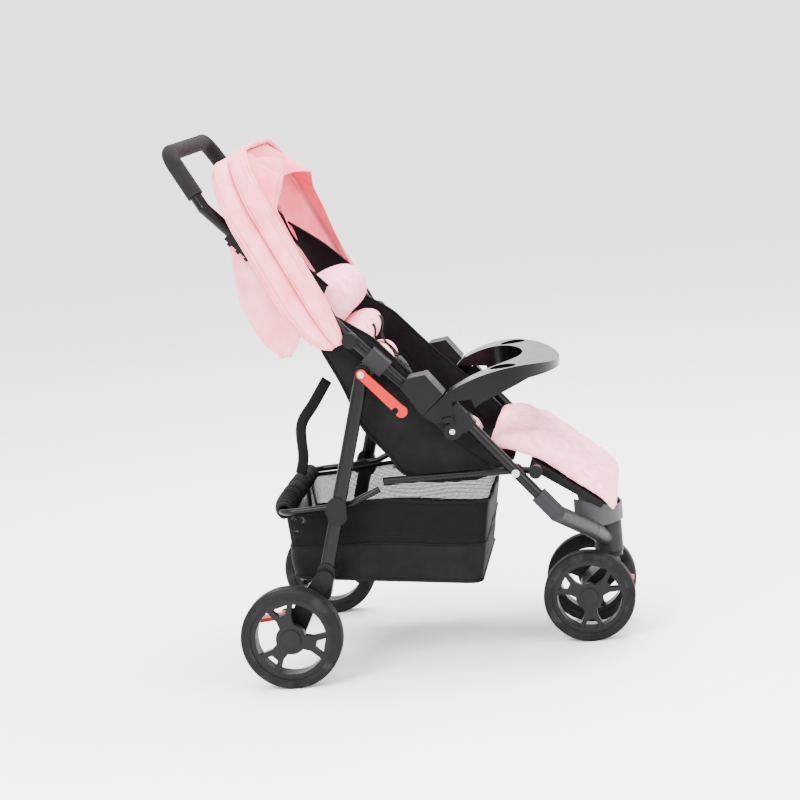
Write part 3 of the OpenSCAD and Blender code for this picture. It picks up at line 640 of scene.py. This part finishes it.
# %% Board in its black cover
board_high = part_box("backrest_board")[1]
BOARD_HALF = board_high.y
BOARD_TOP = 0.352
under, over = [], []
for r in range(25):
    up = 0.02 + (BOARD_TOP - 0.02) * r / 24
    row_under, row_over = [], []
    for c in range(13):
        s = 2 * c / 12 - 1
        corner = max(0.0, (r - 20) / 4) ** 2 * abs(s) ** 6 * 26 * MM
        wing = 10 * MM * s ** 4
        row_under.append(on_back(up - corner, 2.5 * MM + wing * 0.6, BOARD_HALF * s))
        row_over.append(on_back(up - corner, 15 * MM + wing, BOARD_HALF * s))
    under.append(row_under)
    over.append(row_over)
back_cover = keep("backrest_cover", block_between(under, over), black_cloth)
edge = back_cover.modifiers.new("edge", "BEVEL")
edge.width = 3 * MM
edge.segments = 3
settle(back_cover)
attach(back_cover, "backrest")
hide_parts("backrest_board")

# %% [markdown]
# ## Harness
# Two flat straps run down the pad from slots in the backrest to a buckle. Webbing is thin and keeps
# its width, so it is modelled directly as a flattened tube that follows the crowns of the rolls.

# %% Straps and buckle
STRAP_WIDE = 12 * MM
for side, y in (("right", -0.062), ("left", 0.062)):
    hung = [on_back(0.243, 0.03, y), on_back(0.236, 0.062, y), on_back(0.208, 0.086, y * 0.95),
            on_back(0.176, 0.068, y * 0.85), on_back(0.143, 0.077, y * 0.6), on_back(0.118, 0.073, y * 0.35)]
    strap = rope(f"shoulder_strap_{side}", line_through(hung, 26), STRAP_WIDE, strap_web, sides=10, flat=0.11,
                 face=back_out)
    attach(strap, "backrest")
    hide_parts("shoulder_straps")


def pebble(name, centre, axes, sizes, finish, power=4.0):
    """A rounded block: a ball whose sides are pressed flat."""
    mesh = bpy.data.meshes.new(name)
    shape = bmesh.new()
    bmesh.ops.create_icosphere(shape, subdivisions=4, radius=1.0)
    for v in shape.verts:
        p = v.co
        reach = (abs(p.x) ** power + abs(p.y) ** power + abs(p.z) ** power) ** (1 / power)
        p = p / reach
        v.co = centre + axes[0] * (p.x * sizes[0]) + axes[1] * (p.y * sizes[1]) + axes[2] * (p.z * sizes[2])
    shape.to_mesh(mesh)
    shape.free()
    return settle(keep(name, mesh, finish))


side_way = Vector((0, 1, 0))
buckle = pebble("harness_buckle_body", on_back(0.108, 0.08, 0), (back_way, side_way, back_out),
                (24 * MM, 20 * MM, 7 * MM), hard["black_plastic"])
button = pebble("harness_buckle_button", on_back(0.112, 0.0865, 0), (back_way, side_way, back_out),
                (8 * MM, 10 * MM, 2.5 * MM), hard["grey_plastic"], 2.5)
for piece in (buckle, button):
    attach(piece, "backrest")
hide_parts("harness_buckle")

# %% [markdown]
# ## Seat and leg rest
# The seat's cushion is a crowned pad with two channels. The leg rest carries a quilted liner that
# starts on the seat and runs down over the hinge as one pad.

# %% Seat cushion
seat_low, seat_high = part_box("seat_cushion")
under, over = [], []
for r in range(15):
    t = r / 14
    x = seat_low.x - 0.02 + (0.14 - seat_low.x) * t
    end = math.sqrt(max(0.0, 1 - abs(2 * t - 1) ** 4))
    row_under, row_over = [], []
    for c in range(17):
        s = 2 * c / 16 - 1
        side = math.sqrt(max(0.0, 1 - abs(s) ** 6))
        y = (seat_high.y - 8 * MM) * s
        row_under.append(Vector((x, y, seat_low.z + 2 * MM)))
        row_over.append(Vector((x, y, seat_low.z + 8 * MM + 34 * MM * end * side)))
    under.append(row_under)
    over.append(row_over)
seat_pad = stuff("seat_pad", block_between(under, over), pink_padding,
                 lambda p: p.z < seat_low.z + 4 * MM or abs(p.x - 0.05) < 4 * MM and abs(p.y) < 0.12, cap=0.014)
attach(seat_pad, "seat_frame")
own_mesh(seat_pad)
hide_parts("seat_cushion")

# %% Leg rest liner
rest_way = Vector((115, 0, -83)).normalized()
rest_out = Vector((-rest_way.z, 0, rest_way.x))
liner_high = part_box("leg_rest_liner")[1]
LINER_HALF = liner_high.y + 6 * MM
liner_base = line_through([Vector((0.152, 0, 0.392)), Vector((0.19, 0, 0.384)), rest_at + rest_out * 0.012,
                           rest_at + rest_way * 0.06 + rest_out * 0.011,
                           rest_at + rest_way * 0.12 + rest_out * 0.011,
                           rest_at + rest_way * 0.158 + rest_out * 0.003], 61)
LINER_THICK = 34 * MM
TUFT_ROWS = 6
TUFT_COLUMNS = 5


def bubble(t, s):
    """The quilting's crown at a place on the liner: 1 between the tufts, 0 at a tuft."""
    row = t * TUFT_ROWS
    column = (s * 0.5 + 0.5) * TUFT_COLUMNS
    upright = abs(math.sin(math.pi * (row + column) / 2))
    slanted = abs(math.sin(math.pi * (row - column) / 2))
    return min(1.0, (upright * slanted) ** 0.5 + max(0.0, t - 0.72) * 4)


under, over = [], []
for i, p in enumerate(liner_base):
    ahead = liner_base[min(i + 1, len(liner_base) - 1)] - liner_base[max(i - 1, 0)]
    out = Vector((-ahead.z, 0, ahead.x)).normalized()
    t = i / (len(liner_base) - 1)
    end = math.sqrt(max(0.0, 1 - abs(2 * t - 1) ** 5))
    taper = 1.25 - 0.7 * t
    row_under, row_over = [], []
    for c in range(81):
        s = 2 * c / 80 - 1
        side = math.sqrt(max(0.0, 1 - abs(s) ** 6))
        y = Vector((0, LINER_HALF * s * (1 + 0.03 * t), 0))
        row_under.append(p + y + out * 1.0 * MM)
        crown = 0.7 + 0.3 * bubble(t, s)
        row_over.append(p + y + out * (7 * MM + LINER_THICK * taper * (0.15 + 0.85 * end)
                                       * (0.3 + 0.7 * side) * crown))
    under.append(row_under)
    over.append(row_over)


def liner_sewn(p):
    """Sewn along the underside and down at the tufts of the quilting."""
    near = min(range(len(liner_base)),
               key=lambda i: (liner_base[i].x - p.x) ** 2 + (liner_base[i].z - p.z) ** 2)
    base = liner_base[near]
    height = math.hypot(base.x - p.x, base.z - p.z)
    if height < 4 * MM:
        return True
    return bubble(near / (len(liner_base) - 1), p.y / LINER_HALF) < 0.2


liner = stuff("leg_liner", block_between(under, over), pink_padding, liner_sewn, cap=0.013)
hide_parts("leg_rest_liner")
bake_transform(liner)

# %% Leg rest board in black cloth
under, over = [], []
REST_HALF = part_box("leg_rest_board")[1].y
for r in range(17):
    t = r / 16
    d = -0.012 + 0.15 * t
    droop = 3 * MM * math.sin(math.pi * t)
    row_under, row_over = [], []
    for c in range(11):
        y = Vector((0, REST_HALF * (2 * c / 10 - 1), 0))
        row_under.append(rest_at + rest_way * d - rest_out * (9 * MM - 5 * MM * t) + y)
        row_over.append(rest_at + rest_way * d + rest_out * (8.5 * MM + droop * 0.2) + y)
    under.append(row_under)
    over.append(row_over)
rest_cover = keep("leg_rest_cover", block_between(under, over), black_cloth)
edge = rest_cover.modifiers.new("edge", "BEVEL")
edge.width = 3.5 * MM
edge.segments = 3
settle(rest_cover)
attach(rest_cover, "leg_rest")
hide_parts("leg_rest_board")

# %% [markdown]
# ## Side cloths
# Each side of the seat is a tailored panel of black cloth with a bound edge. Its outline is read from
# the frame's own solid, filled with an even net of points, and pressed out a little, as a child's
# weight would. The binding is a cord that follows the outline.


# %% Panel inside an outline
def side_outline(node, outer_y):
    """The outline of a flat solid's face at one distance from the middle, in order."""
    source = bmesh.new()
    source.from_mesh(frame["nodes"][node].data)
    bmesh.ops.remove_doubles(source, verts=source.verts, dist=1e-5)
    flat = [f for f in source.faces if all(abs(v.co.y - outer_y) < 1e-4 for v in f.verts)]
    uses = {}
    for f in flat:
        for e in f.edges:
            uses[e] = uses.get(e, 0) + 1
    rim = [e for e, n in uses.items() if n == 1]
    ways = {}
    for e in rim:
        a, b = e.verts
        ways.setdefault(a, []).append(b)
        ways.setdefault(b, []).append(a)
    start = rim[0].verts[0]
    loop, last, here = [start], None, start
    while True:
        ahead = [v for v in ways[here] if v is not last][0]
        if ahead is start:
            break
        loop.append(ahead)
        last, here = here, ahead
    points = [v.co.copy() for v in loop]
    source.free()
    return points


def evened(points, step):
    """The outline with points at even steps, its corners a little softened."""
    out = []
    for a, b in zip(points, points[1:] + points[:1]):
        parts = max(1, round((b - a).length / step))
        out += [a.lerp(b, k / parts) for k in range(parts)]
    for _ in range(2):
        out = [(out[i - 1] + out[i] * 2 + out[(i + 1) % len(out)]) / 4 for i in range(len(out))]
    return out


def panel(name, outline, finish, press, step=9 * MM, thick=1.4 * MM):
    """A cloth panel inside an outline in the side view. press(x, z, edge) moves it sideways."""
    flat = [Vector((p.x, p.z)) for p in outline]
    low = Vector((min(p.x for p in flat), min(p.y for p in flat)))
    high = Vector((max(p.x for p in flat), max(p.y for p in flat)))
    inner = []
    rows = int((high.y - low.y) / step)
    for r in range(rows + 1):
        for c in range(int((high.x - low.x) / step) + 1):
            p = Vector((low.x + (c + 0.5 * (r % 2)) * step, low.y + r * step))
            gap = min((p - q).length for q in flat)
            if gap > step * 0.7 and inside(p, flat):
                inner.append(p)
    ring = list(range(len(flat)))
    made = geometry.delaunay_2d_cdt(flat + inner, list(zip(ring, ring[1:] + ring[:1])), [ring], 1, 1e-6)
    mesh = bpy.data.meshes.new(name)
    y0 = outline[0].y
    mesh.from_pydata([(p.x, y0 + press(p.x, p.y, min((p - q).length for q in flat)), p.y) for p in made[0]], [],
                     [f for f in made[2]])
    layer = mesh.uv_layers.new(name="cut")
    for k, loop in enumerate(mesh.loops):
        p = mesh.vertices[loop.vertex_index].co
        layer.data[k].uv = (p.x, p.z)
    area = sum(p.area for p in mesh.polygons)
    piece = keep(name, mesh, finish)
    wall = piece.modifiers.new("wall", "SOLIDIFY")
    wall.thickness = thick
    wall.offset = 0.0
    settle(piece)
    return piece, (high.x - low.x, high.y - low.y), area


def inside(p, ring):
    """True if a point of the side view lies inside an outline."""
    odd = False
    for a, b in zip(ring, ring[1:] + ring[:1]):
        if (a.y > p.y) != (b.y > p.y) and p.x < (b.x - a.x) * (p.y - a.y) / (b.y - a.y) + a.x:
            odd = not odd
    return odd


# %% Side cloths of the seat
sides_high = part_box("seat_sides")[1]
for side, sign in (("right", -1), ("left", 1)):
    outline = evened(side_outline("seat_sides", sign * sides_high.y), 9 * MM)

    def press(x, z, gap, sign=sign):
        belly = 9 * MM * (1 - math.exp(-gap / 0.05))
        crease = 2.2 * MM * noise.noise(Vector((x * 14, sign * 3.1, z * 9))) * min(1, gap / 0.03)
        return sign * (belly + crease - 3 * MM)

    sheet_piece, flat, area = panel(f"seat_side_{side}", outline, black_cloth, press)
    binding = rope(f"seat_side_{side}_binding", [p + Vector((0, -sign * 2.5 * MM, 0)) for p in outline],
                   2.6 * MM, black_cloth, closed=True)
    seam_points = [Vector((-0.094, 0, 0.6)), Vector((-0.03, 0, 0.54)), Vector((0.03, 0, 0.47)),
                   Vector((0.09, 0, 0.415)), Vector((0.15, 0, 0.365))]
    outer = sign * sides_high.y
    seam_path = [Vector((p.x, outer + press(p.x, p.z, 0.04), p.z)) for p in line_through(seam_points, 40)]
    seam = rope(f"seat_side_{side}_seam", seam_path, 1.5 * MM, strap_web)
    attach(sheet_piece, "handle_frame")
    binding.parent = seam.parent = sheet_piece
    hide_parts("seat_sides")

# %% Sling under the seat
sling_low, sling_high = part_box("seat_sling")
rows = []
for r in range(14):
    t = r / 13
    x = sling_low.x - 0.02 + (sling_high.x - 4 * MM - sling_low.x + 0.02) * t
    row = []
    for c in range(19):
        s = 2 * c / 18 - 1
        sag = (14 * MM * (1 - s * s) * math.sin(math.pi * t)
               + 1.5 * MM * noise.noise(Vector((x * 16, s * 4, 1.7))))
        row.append(Vector((x, (sling_high.y - 2 * MM) * s, sling_high.z - 4 * MM - sag)))
    rows.append(row)
sling, flat, area = cloth("seat_base_cloth", rows, black_cloth, 2 * MM)
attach(sling, "seat_frame")
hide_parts("seat_sling")
min(area, flat[0] * flat[1])

# %% [markdown]
# ## Basket
# The basket is a bag on a bent rail: a stiff floor, a lower wall of pleated cloth, and net above it.
# Each part is a ring of rows around the floor's outline. The rings widen upwards, belly out a little
# and follow the rail at the top, so they make one lofted bag with soft corners.

# %% Rings of the basket
bag_low, bag_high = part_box("basket_bag")
BAG_HALF = bag_high.y - 3 * MM
FLOOR_FRONT = bag_high.x - 26 * MM
FLOOR_BACK = bag_low.x + 8 * MM
CORNER = 26 * MM
AROUND = 132


def ring_at(height):
    """A closed row of points around the basket at a share of its height."""
    front = FLOOR_FRONT + (bag_high.x - FLOOR_FRONT) * height - 3 * MM
    rear = FLOOR_BACK + (bag_low.x - FLOOR_BACK) * height + 3 * MM
    belly = 5 * MM * math.sin(math.pi * min(1, height * 1.4))
    half = BAG_HALF - 6 * MM + belly
    corners = [Vector((front, -half, 0)), Vector((front, half, 0)), Vector((rear, half, 0)),
               Vector((rear, -half, 0))]
    points = []
    for i, corner in enumerate(corners):
        before, after = corners[i - 1], corners[(i + 1) % 4]
        a = corner + (before - corner).normalized() * CORNER
        b = corner + (after - corner).normalized() * CORNER
        for k in range(7):
            t = k / 6
            points.append(a * (1 - t) ** 2 + corner * 2 * t * (1 - t) + b * t * t)
    ring = []
    lengths = [0.0]
    closed = points + points[:1]
    for a, b in zip(closed, closed[1:]):
        lengths.append(lengths[-1] + (b - a).length)
    at = 0
    for k in range(AROUND):
        target = lengths[-1] * k / AROUND
        while lengths[at + 1] < target:
            at += 1
        p = closed[at].lerp(closed[at + 1], (target - lengths[at]) / max(lengths[at + 1] - lengths[at], 1e-9))
        share = (p.x - FLOOR_BACK) / (FLOOR_FRONT - FLOOR_BACK)
        floor_z = bag_low.z + 32 * MM * (1 - share)
        top_z = bag_high.z + (14 * MM * math.exp(-((p.x + 0.06) / 0.09) ** 2)
                              if abs(p.y) > half - CORNER else 0)
        z = floor_z + (top_z - floor_z) * height
        out = (Vector((0, 1 if p.y > 0 else -1, 0)) if abs(p.y) > half - 2 * MM
               else Vector((1 if p.x > 0 else -1, 0, 0)))
        pleat = math.sin(target / 0.021) * 2.2 * MM * max(0.0, math.sin(math.pi * min(1, height * 2)))
        crumple = 3 * MM * noise.noise(Vector((p.x * 12, p.y * 12, z * 16 + 4)))
        ring.append(Vector((p.x, p.y, z)) + out * (pleat + crumple * min(1, height * 4)))
    return ring


NET_FROM = 0.47
lower, flat, area = cloth("basket_lower_wall", [ring_at(NET_FROM * r / 7) for r in range(8)], black_cloth,
                          ring=True)
min(area, flat[0] * flat[1])
upper, flat, area = cloth("basket_net", [ring_at(NET_FROM + (1 - NET_FROM) * r / 6) for r in range(7)],
                          black_net, 0.5 * MM, ring=True)
min(area, flat[0] * flat[1])

# %% Basket floor, bindings and the padded sleeve on the rail
ring = ring_at(0.0)
rows = []
for r in range(9):
    t = r / 8
    x = FLOOR_BACK + 5 * MM + (FLOOR_FRONT - FLOOR_BACK - 10 * MM) * t
    row = []
    for c in range(13):
        s = 2 * c / 12 - 1
        z = bag_low.z + 32 * MM * (1 - t) + 0.5 * MM - 3 * MM * math.sin(math.pi * t) * (1 - s * s)
        row.append(Vector((x, (BAG_HALF - 8 * MM) * s, z)))
    rows.append(row)
bag_floor, flat, area = cloth("basket_floor", rows, black_cloth, 3 * MM)
min(area, flat[0] * flat[1])
hems = [rope("basket_floor_hem", ring, 3.2 * MM, black_cloth, closed=True),
        rope("basket_net_hem", ring_at(NET_FROM), 2.4 * MM, strap_web, closed=True),
        rope("basket_top_hem", ring_at(1.0), 3.4 * MM, strap_web, closed=True)]

rail_low, rail_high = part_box("basket_rail")
SLEEVE_R = 17 * MM
sleeve_path = [Vector((rail_low.x + 7 * MM + 6 * MM * abs(s) ** 6, (rail_high.y - 22 * MM) * s,
                       rail_low.z + 8 * MM))
               for s in (2 * k / 60 - 1 for k in range(61))]
rows = []
for i, p in enumerate(sleeve_path):
    crush = 1 + 0.13 * math.sin(i * 1.9) + 0.12 * noise.noise(Vector((i * 0.7, 0, 3.3)))
    thin = 0.55 + 0.45 * math.sqrt(max(0.0, 1 - abs(2 * i / 60 - 1) ** 8))
    radius = SLEEVE_R * crush * thin
    rows.append([p + Vector((radius * math.cos(a), 0,
                             radius * (1.25 if math.sin(a) < 0 else 0.95) * math.sin(a)))
                 for a in (2 * math.pi * k / 20 for k in range(20))])
sleeve, flat, area = cloth("basket_rail_sleeve", rows, black_cloth, 1.2 * MM, ring=True)
for piece in [lower, upper, bag_floor, sleeve, *hems]:
    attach(piece, "rear_frame")
for piece in (lower, upper, hems[1], hems[2]):
    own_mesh(piece)
min(area, flat[0] * flat[1])
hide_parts("basket_bag")

# %% [markdown]
# ## Canopy
# The canopy is one sheet over two bows, here folded back. It is laid out as rows that run over the
# stroller from hub to hub. Between the front and the rear bow the rows step in and out, which makes the
# pleat.

# %% Arch of the bows
bow_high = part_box("canopy_front_bow")[1]
BOW_R = 2.5 * MM
ARCH_HALF = bow_high.y - BOW_R
FRONT_TILT = math.radians(26)
REACH = 0.39
SHOULDER = 0.12
ACROSS = 129
bow_up = Vector((-math.sin(FRONT_TILT), 0, math.cos(FRONT_TILT)))
bow_on = Vector((math.cos(FRONT_TILT), 0, math.sin(FRONT_TILT)))


def arch(u, shrink=0.0, foot=0.003):
    """(sideways, upwards) of a point on the arch, u from the right hub to the left one."""
    half, top, round_r = ARCH_HALF - shrink, REACH - shrink, SHOULDER - shrink * 0.5
    leg = top - round_r - foot
    bend = round_r * math.pi / 2
    flat_part = 2 * (half - round_r)
    d = u * (2 * leg + 2 * bend + flat_part)
    if d < leg:
        return -half, foot + d
    d -= leg
    if d < bend:
        a = d / round_r
        return -half + round_r * (1 - math.cos(a)), top - round_r + round_r * math.sin(a)
    d -= bend
    if d < flat_part:
        return -half + round_r + d, top
    d -= flat_part
    if d < bend:
        a = d / round_r
        return half - round_r + round_r * math.sin(a), top - round_r + round_r * math.cos(a)
    return half, top - round_r - (d - bend)


def hood_point(u, share, inward, ripple=0.0):
    """A point of the canopy: share runs from the front bow (0) to the back edge (1)."""
    y, up = arch(u, inward)
    near_hub = 1 - min(1.0, max(0.0, up / 0.11))
    tip = math.sqrt(max(0.0, 1 - near_hub ** 2))
    crown = max(0.0, 1 - abs(y) / ARCH_HALF) ** 0.5
    wide = 78 * MM * tip * (1 - 0.2 * crown)
    behind = 22 * MM * (1 - tip)
    step = ripple * math.sin(u * 2 * math.pi * 60) * crown
    return hub + Vector((0, y, 0)) + bow_up * (up + step) - bow_on * (behind + wide * share)


# %% Canopy sheet
PROFILE = [(0.0, -1.5), (0.05, -4.0), (0.16, -6.0), (0.3, -5.0), (0.4, -2.5), (0.45, 1.0),
           (0.475, 6.0), (0.49, 14.0), (0.51, 6.0), (0.54, 0.5), (0.62, -2.5), (0.76, -3.5),
           (0.9, -2.0), (1.0, 0.0), (0.98, 6.0), (0.8, 11.0)]
rows = []
for k, (share, inward) in enumerate(PROFILE):
    row = []
    for c in range(ACROSS):
        u = c / (ACROSS - 1)
        crease = 3.4 * MM * noise.noise(Vector((u * 16, share * 4.0, 0.4))) * math.sin(math.pi * u) ** 0.3
        row.append(hood_point(u, share, inward * MM + crease))
    rows.append(row)
hood, flat, area = cloth("canopy_sheet", rows, pink_cloth, 1.2 * MM)
pipings = []
for label, share, inward, r in (("front", 0.0, 0.0, 4.2), ("front_inner", 0.1, -4.8, 1.6),
                                ("middle", 0.43, -2.4, 1.8),
                                ("rear_inner", 0.88, -3.2, 1.6), ("rear", 1.0, 0.0, 2.6)):
    points = [hood_point(c / 140, share, inward * MM) for c in range(141)]
    pipings.append(rope(f"canopy_{label}_piping", points, r * MM, pink_piping, face=Vector((1, 0, 0.2))))

# %% Gathered lining and the visor that is tucked inside
rows = []
for k in range(9):
    t = k / 8
    row = []
    for c in range(221):
        u = 0.1 + 0.8 * c / 220
        crown = math.sin(math.pi * (u - 0.1) / 0.8)
        gather = 2.4 * MM * math.sin(c * 0.95) * math.sin(math.pi * min(1.0, t * 1.6)) * crown
        fold = (7 * MM * math.sin(u * 31 + t * 3.1) * t
                + 9 * MM * noise.noise(Vector((u * 10, t * 2.5, 8.1))) * t)
        y, up = arch(u, 7 * MM + (0.03 + 0.045 * crown) * t ** 1.2 + gather + fold * 0.6)
        row.append(hub + Vector((0, y, 0)) + bow_up * up - bow_on * (12 * MM + 42 * MM * t + fold * 0.5))
    rows.append(row)
# The lining is cut in the deeper pink: painted shade inside the canopy.
lining, lining_flat, lining_area = cloth("canopy_lining", rows, shaded_pink, 1.0 * MM)

# The visor hangs from the front bow by its two ends; its free corners stand forward
visor_edge = [(0.1, 0.0, 0.0), (0.24, 8.0, 10.0), (0.34, 34.0, 46.0), (0.42, 10.0, 70.0), (0.5, -22.0, 62.0),
              (0.58, -6.0, 74.0), (0.655, 42.0, 70.0), (0.74, 22.0, 30.0), (0.9, 0.0, 0.0)]
rows = []
STRIPS = 12
for k in range(STRIPS + 1):
    t = k / STRIPS
    row = []
    for c in range(161):
        u = 0.1 + 0.8 * c / 160
        at = next(i for i in range(len(visor_edge) - 1) if u <= visor_edge[i + 1][0] + 1e-9)
        (u0, f0, d0), (u1, f1, d1) = visor_edge[at], visor_edge[at + 1]
        share = (u - u0) / (u1 - u0)
        forward, down = (f0 + (f1 - f0) * share) * MM, (d0 + (d1 - d0) * share) * MM
        wave = 6 * MM * noise.noise(Vector((u * 14, t * 2.0, 2.2))) * math.sin(math.pi * u) * t
        y, up = arch(u, 5 * MM + down * t + wave)
        row.append(hub + Vector((0, y, 0)) + bow_up * up
                   + bow_on * (forward * t ** 0.8 - 6 * MM * (1 - t) + wave))
    rows.append(row)
# The visor is in the deeper pink too: painted shade inside the canopy.
visor, visor_flat, visor_area = cloth("canopy_visor", rows, shaded_pink, 1.0 * MM)

# A light corner of the canopy's cloth hangs inside, under the crown
corner_top = line_through([Vector((-0.262, -0.13, 0.936)), Vector((-0.225, -0.085, 0.944)),
                           Vector((-0.188, -0.04, 0.936))], 13)
corner_low = Vector((-0.21, -0.09, 0.832))
rows = []
for r in range(15):
    t = r / 14
    rows.append([p.lerp(corner_low, t * 0.94) + Vector((6 * MM, -8 * MM, 0)) * math.sin(math.pi * t)
                 + Vector((0, 5 * MM, 0)) * noise.noise(p * 22 + Vector((0, 0, t * 3))) for p in corner_top])
corner, corner_flat, corner_area = cloth("canopy_corner", rows, pink_cloth, 1.0 * MM)
corner_flat = (corner_flat[0] * 2, corner_flat[1])

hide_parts("canopy_hood")
min(area, flat[0] * flat[1])
min(lining_area, lining_flat[0] * lining_flat[1])
min(visor_area, visor_flat[0] * visor_flat[1])
for piece in [hood, *pipings[1:]]:
    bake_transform(piece)
min(corner_area, corner_flat[0] * corner_flat[1])
for piece in (pipings[0], lining, visor, corner):
    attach(piece, "canopy")

# %% [markdown]
# ## Rear flap and webbing
# Behind the backrest hangs a loose pink flap with gussets at its sides. It is a wide U seen from
# above, longer at the back, and it swings out at its hem. A strap hangs behind the backrest.

# %% Rear flap
flap_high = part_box("rear_flap")[1]
FLAP_HALF = flap_high.y + 4 * MM
flap_rear = line_through([Vector((-0.28, 0, 0.806)), Vector((-0.272, 0, 0.74)), Vector((-0.262, 0, 0.69)),
                          Vector((-0.246, 0, 0.65)), Vector((-0.231, 0, 0.612)), Vector((-0.21, 0, 0.588))], 19)
flap_front = line_through([Vector((-0.272, 0, 0.8)), Vector((-0.232, 0, 0.754)),
                           Vector((-0.192, 0, 0.699)), Vector((-0.172, 0, 0.64)),
                           Vector((-0.17, 0, 0.612)), Vector((-0.185, 0, 0.589))], 19)
CORNER_AT = 0.62
rows = []
for r in range(19):
    t = r / 18
    row = []
    for c in range(75):
        s = 2 * c / 74 - 1
        gusset = max(0.0, abs(s) - CORNER_AT) / (1 - CORNER_AT)
        p = flap_rear[r].lerp(flap_front[r], gusset)
        y = FLAP_HALF * max(-1.0, min(1.0, s / CORNER_AT))
        billow = 9 * MM * math.sin(math.pi * t) * (1 - gusset)
        fold = 7 * MM * noise.noise(Vector((s * 6.5, t * 2.4, 5.2))) * t ** 0.5
        row.append(p + Vector((fold - billow, y + fold * 0.8 * (1 if s > 0 else -1), 0)))
    rows.append(row)
flap, flat, area = cloth("rear_flap_cloth", rows, pink_cloth, 1.2 * MM)
flap_hem = rope("rear_flap_hem", rows[-1], 2.0 * MM, pink_piping)
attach(flap, "handle_frame")
flap_hem.parent = flap
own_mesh(flap)
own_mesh(flap_hem)
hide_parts("rear_flap")
min(area, flat[0] * flat[1])

# %% Black wings beside the backrest
for side, sign in (("right", -1), ("left", 1)):
    rear_line = line_through([Vector((-0.236, sign * 0.17, 0.803)), Vector((-0.2, sign * 0.172, 0.735)),
                              Vector((-0.15, sign * 0.17, 0.64))], 15)
    front_line = line_through([Vector((-0.226, sign * 0.168, 0.802)), Vector((-0.16, sign * 0.164, 0.755)),
                               Vector((-0.112, sign * 0.166, 0.708))], 15)
    rows = []
    for r in range(15):
        row = []
        for c in range(11):
            t = c / 10
            p = rear_line[r].lerp(front_line[r], t)
            hollow = (5 * MM * math.sin(math.pi * t)
                      + 3 * MM * noise.noise(Vector((p.x * 20, sign * 2.0, p.z * 20))))
            row.append(p + Vector((0, sign * hollow, 0)))
        rows.append(row)
    wing, flat, area = cloth(f"back_wing_{side}", rows, black_cloth, 1.6 * MM)
    wing_hem = rope(f"back_wing_{side}_hem", front_line, 2.2 * MM, black_cloth)
    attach(wing, "handle_frame")
    wing_hem.parent = wing
    min(area, flat[0] * flat[1])

# %% Webbing behind the backrest
strap_low, strap_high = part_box("recline_strap")
hung = [Vector((strap_high.x - 2 * MM, 0, strap_high.z)), Vector((-0.185, 0, 0.47)), Vector((-0.212, 0, 0.43)),
        Vector((-0.214, 0, 0.37)), Vector((strap_low.x + 2 * MM, 0, strap_low.z))]
web = rope("recline_webbing", line_through(hung, 24), 11 * MM, strap_web, sides=10, flat=0.14,
           face=Vector((0.3, 1, 0)))
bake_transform(web)
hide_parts("recline_strap")
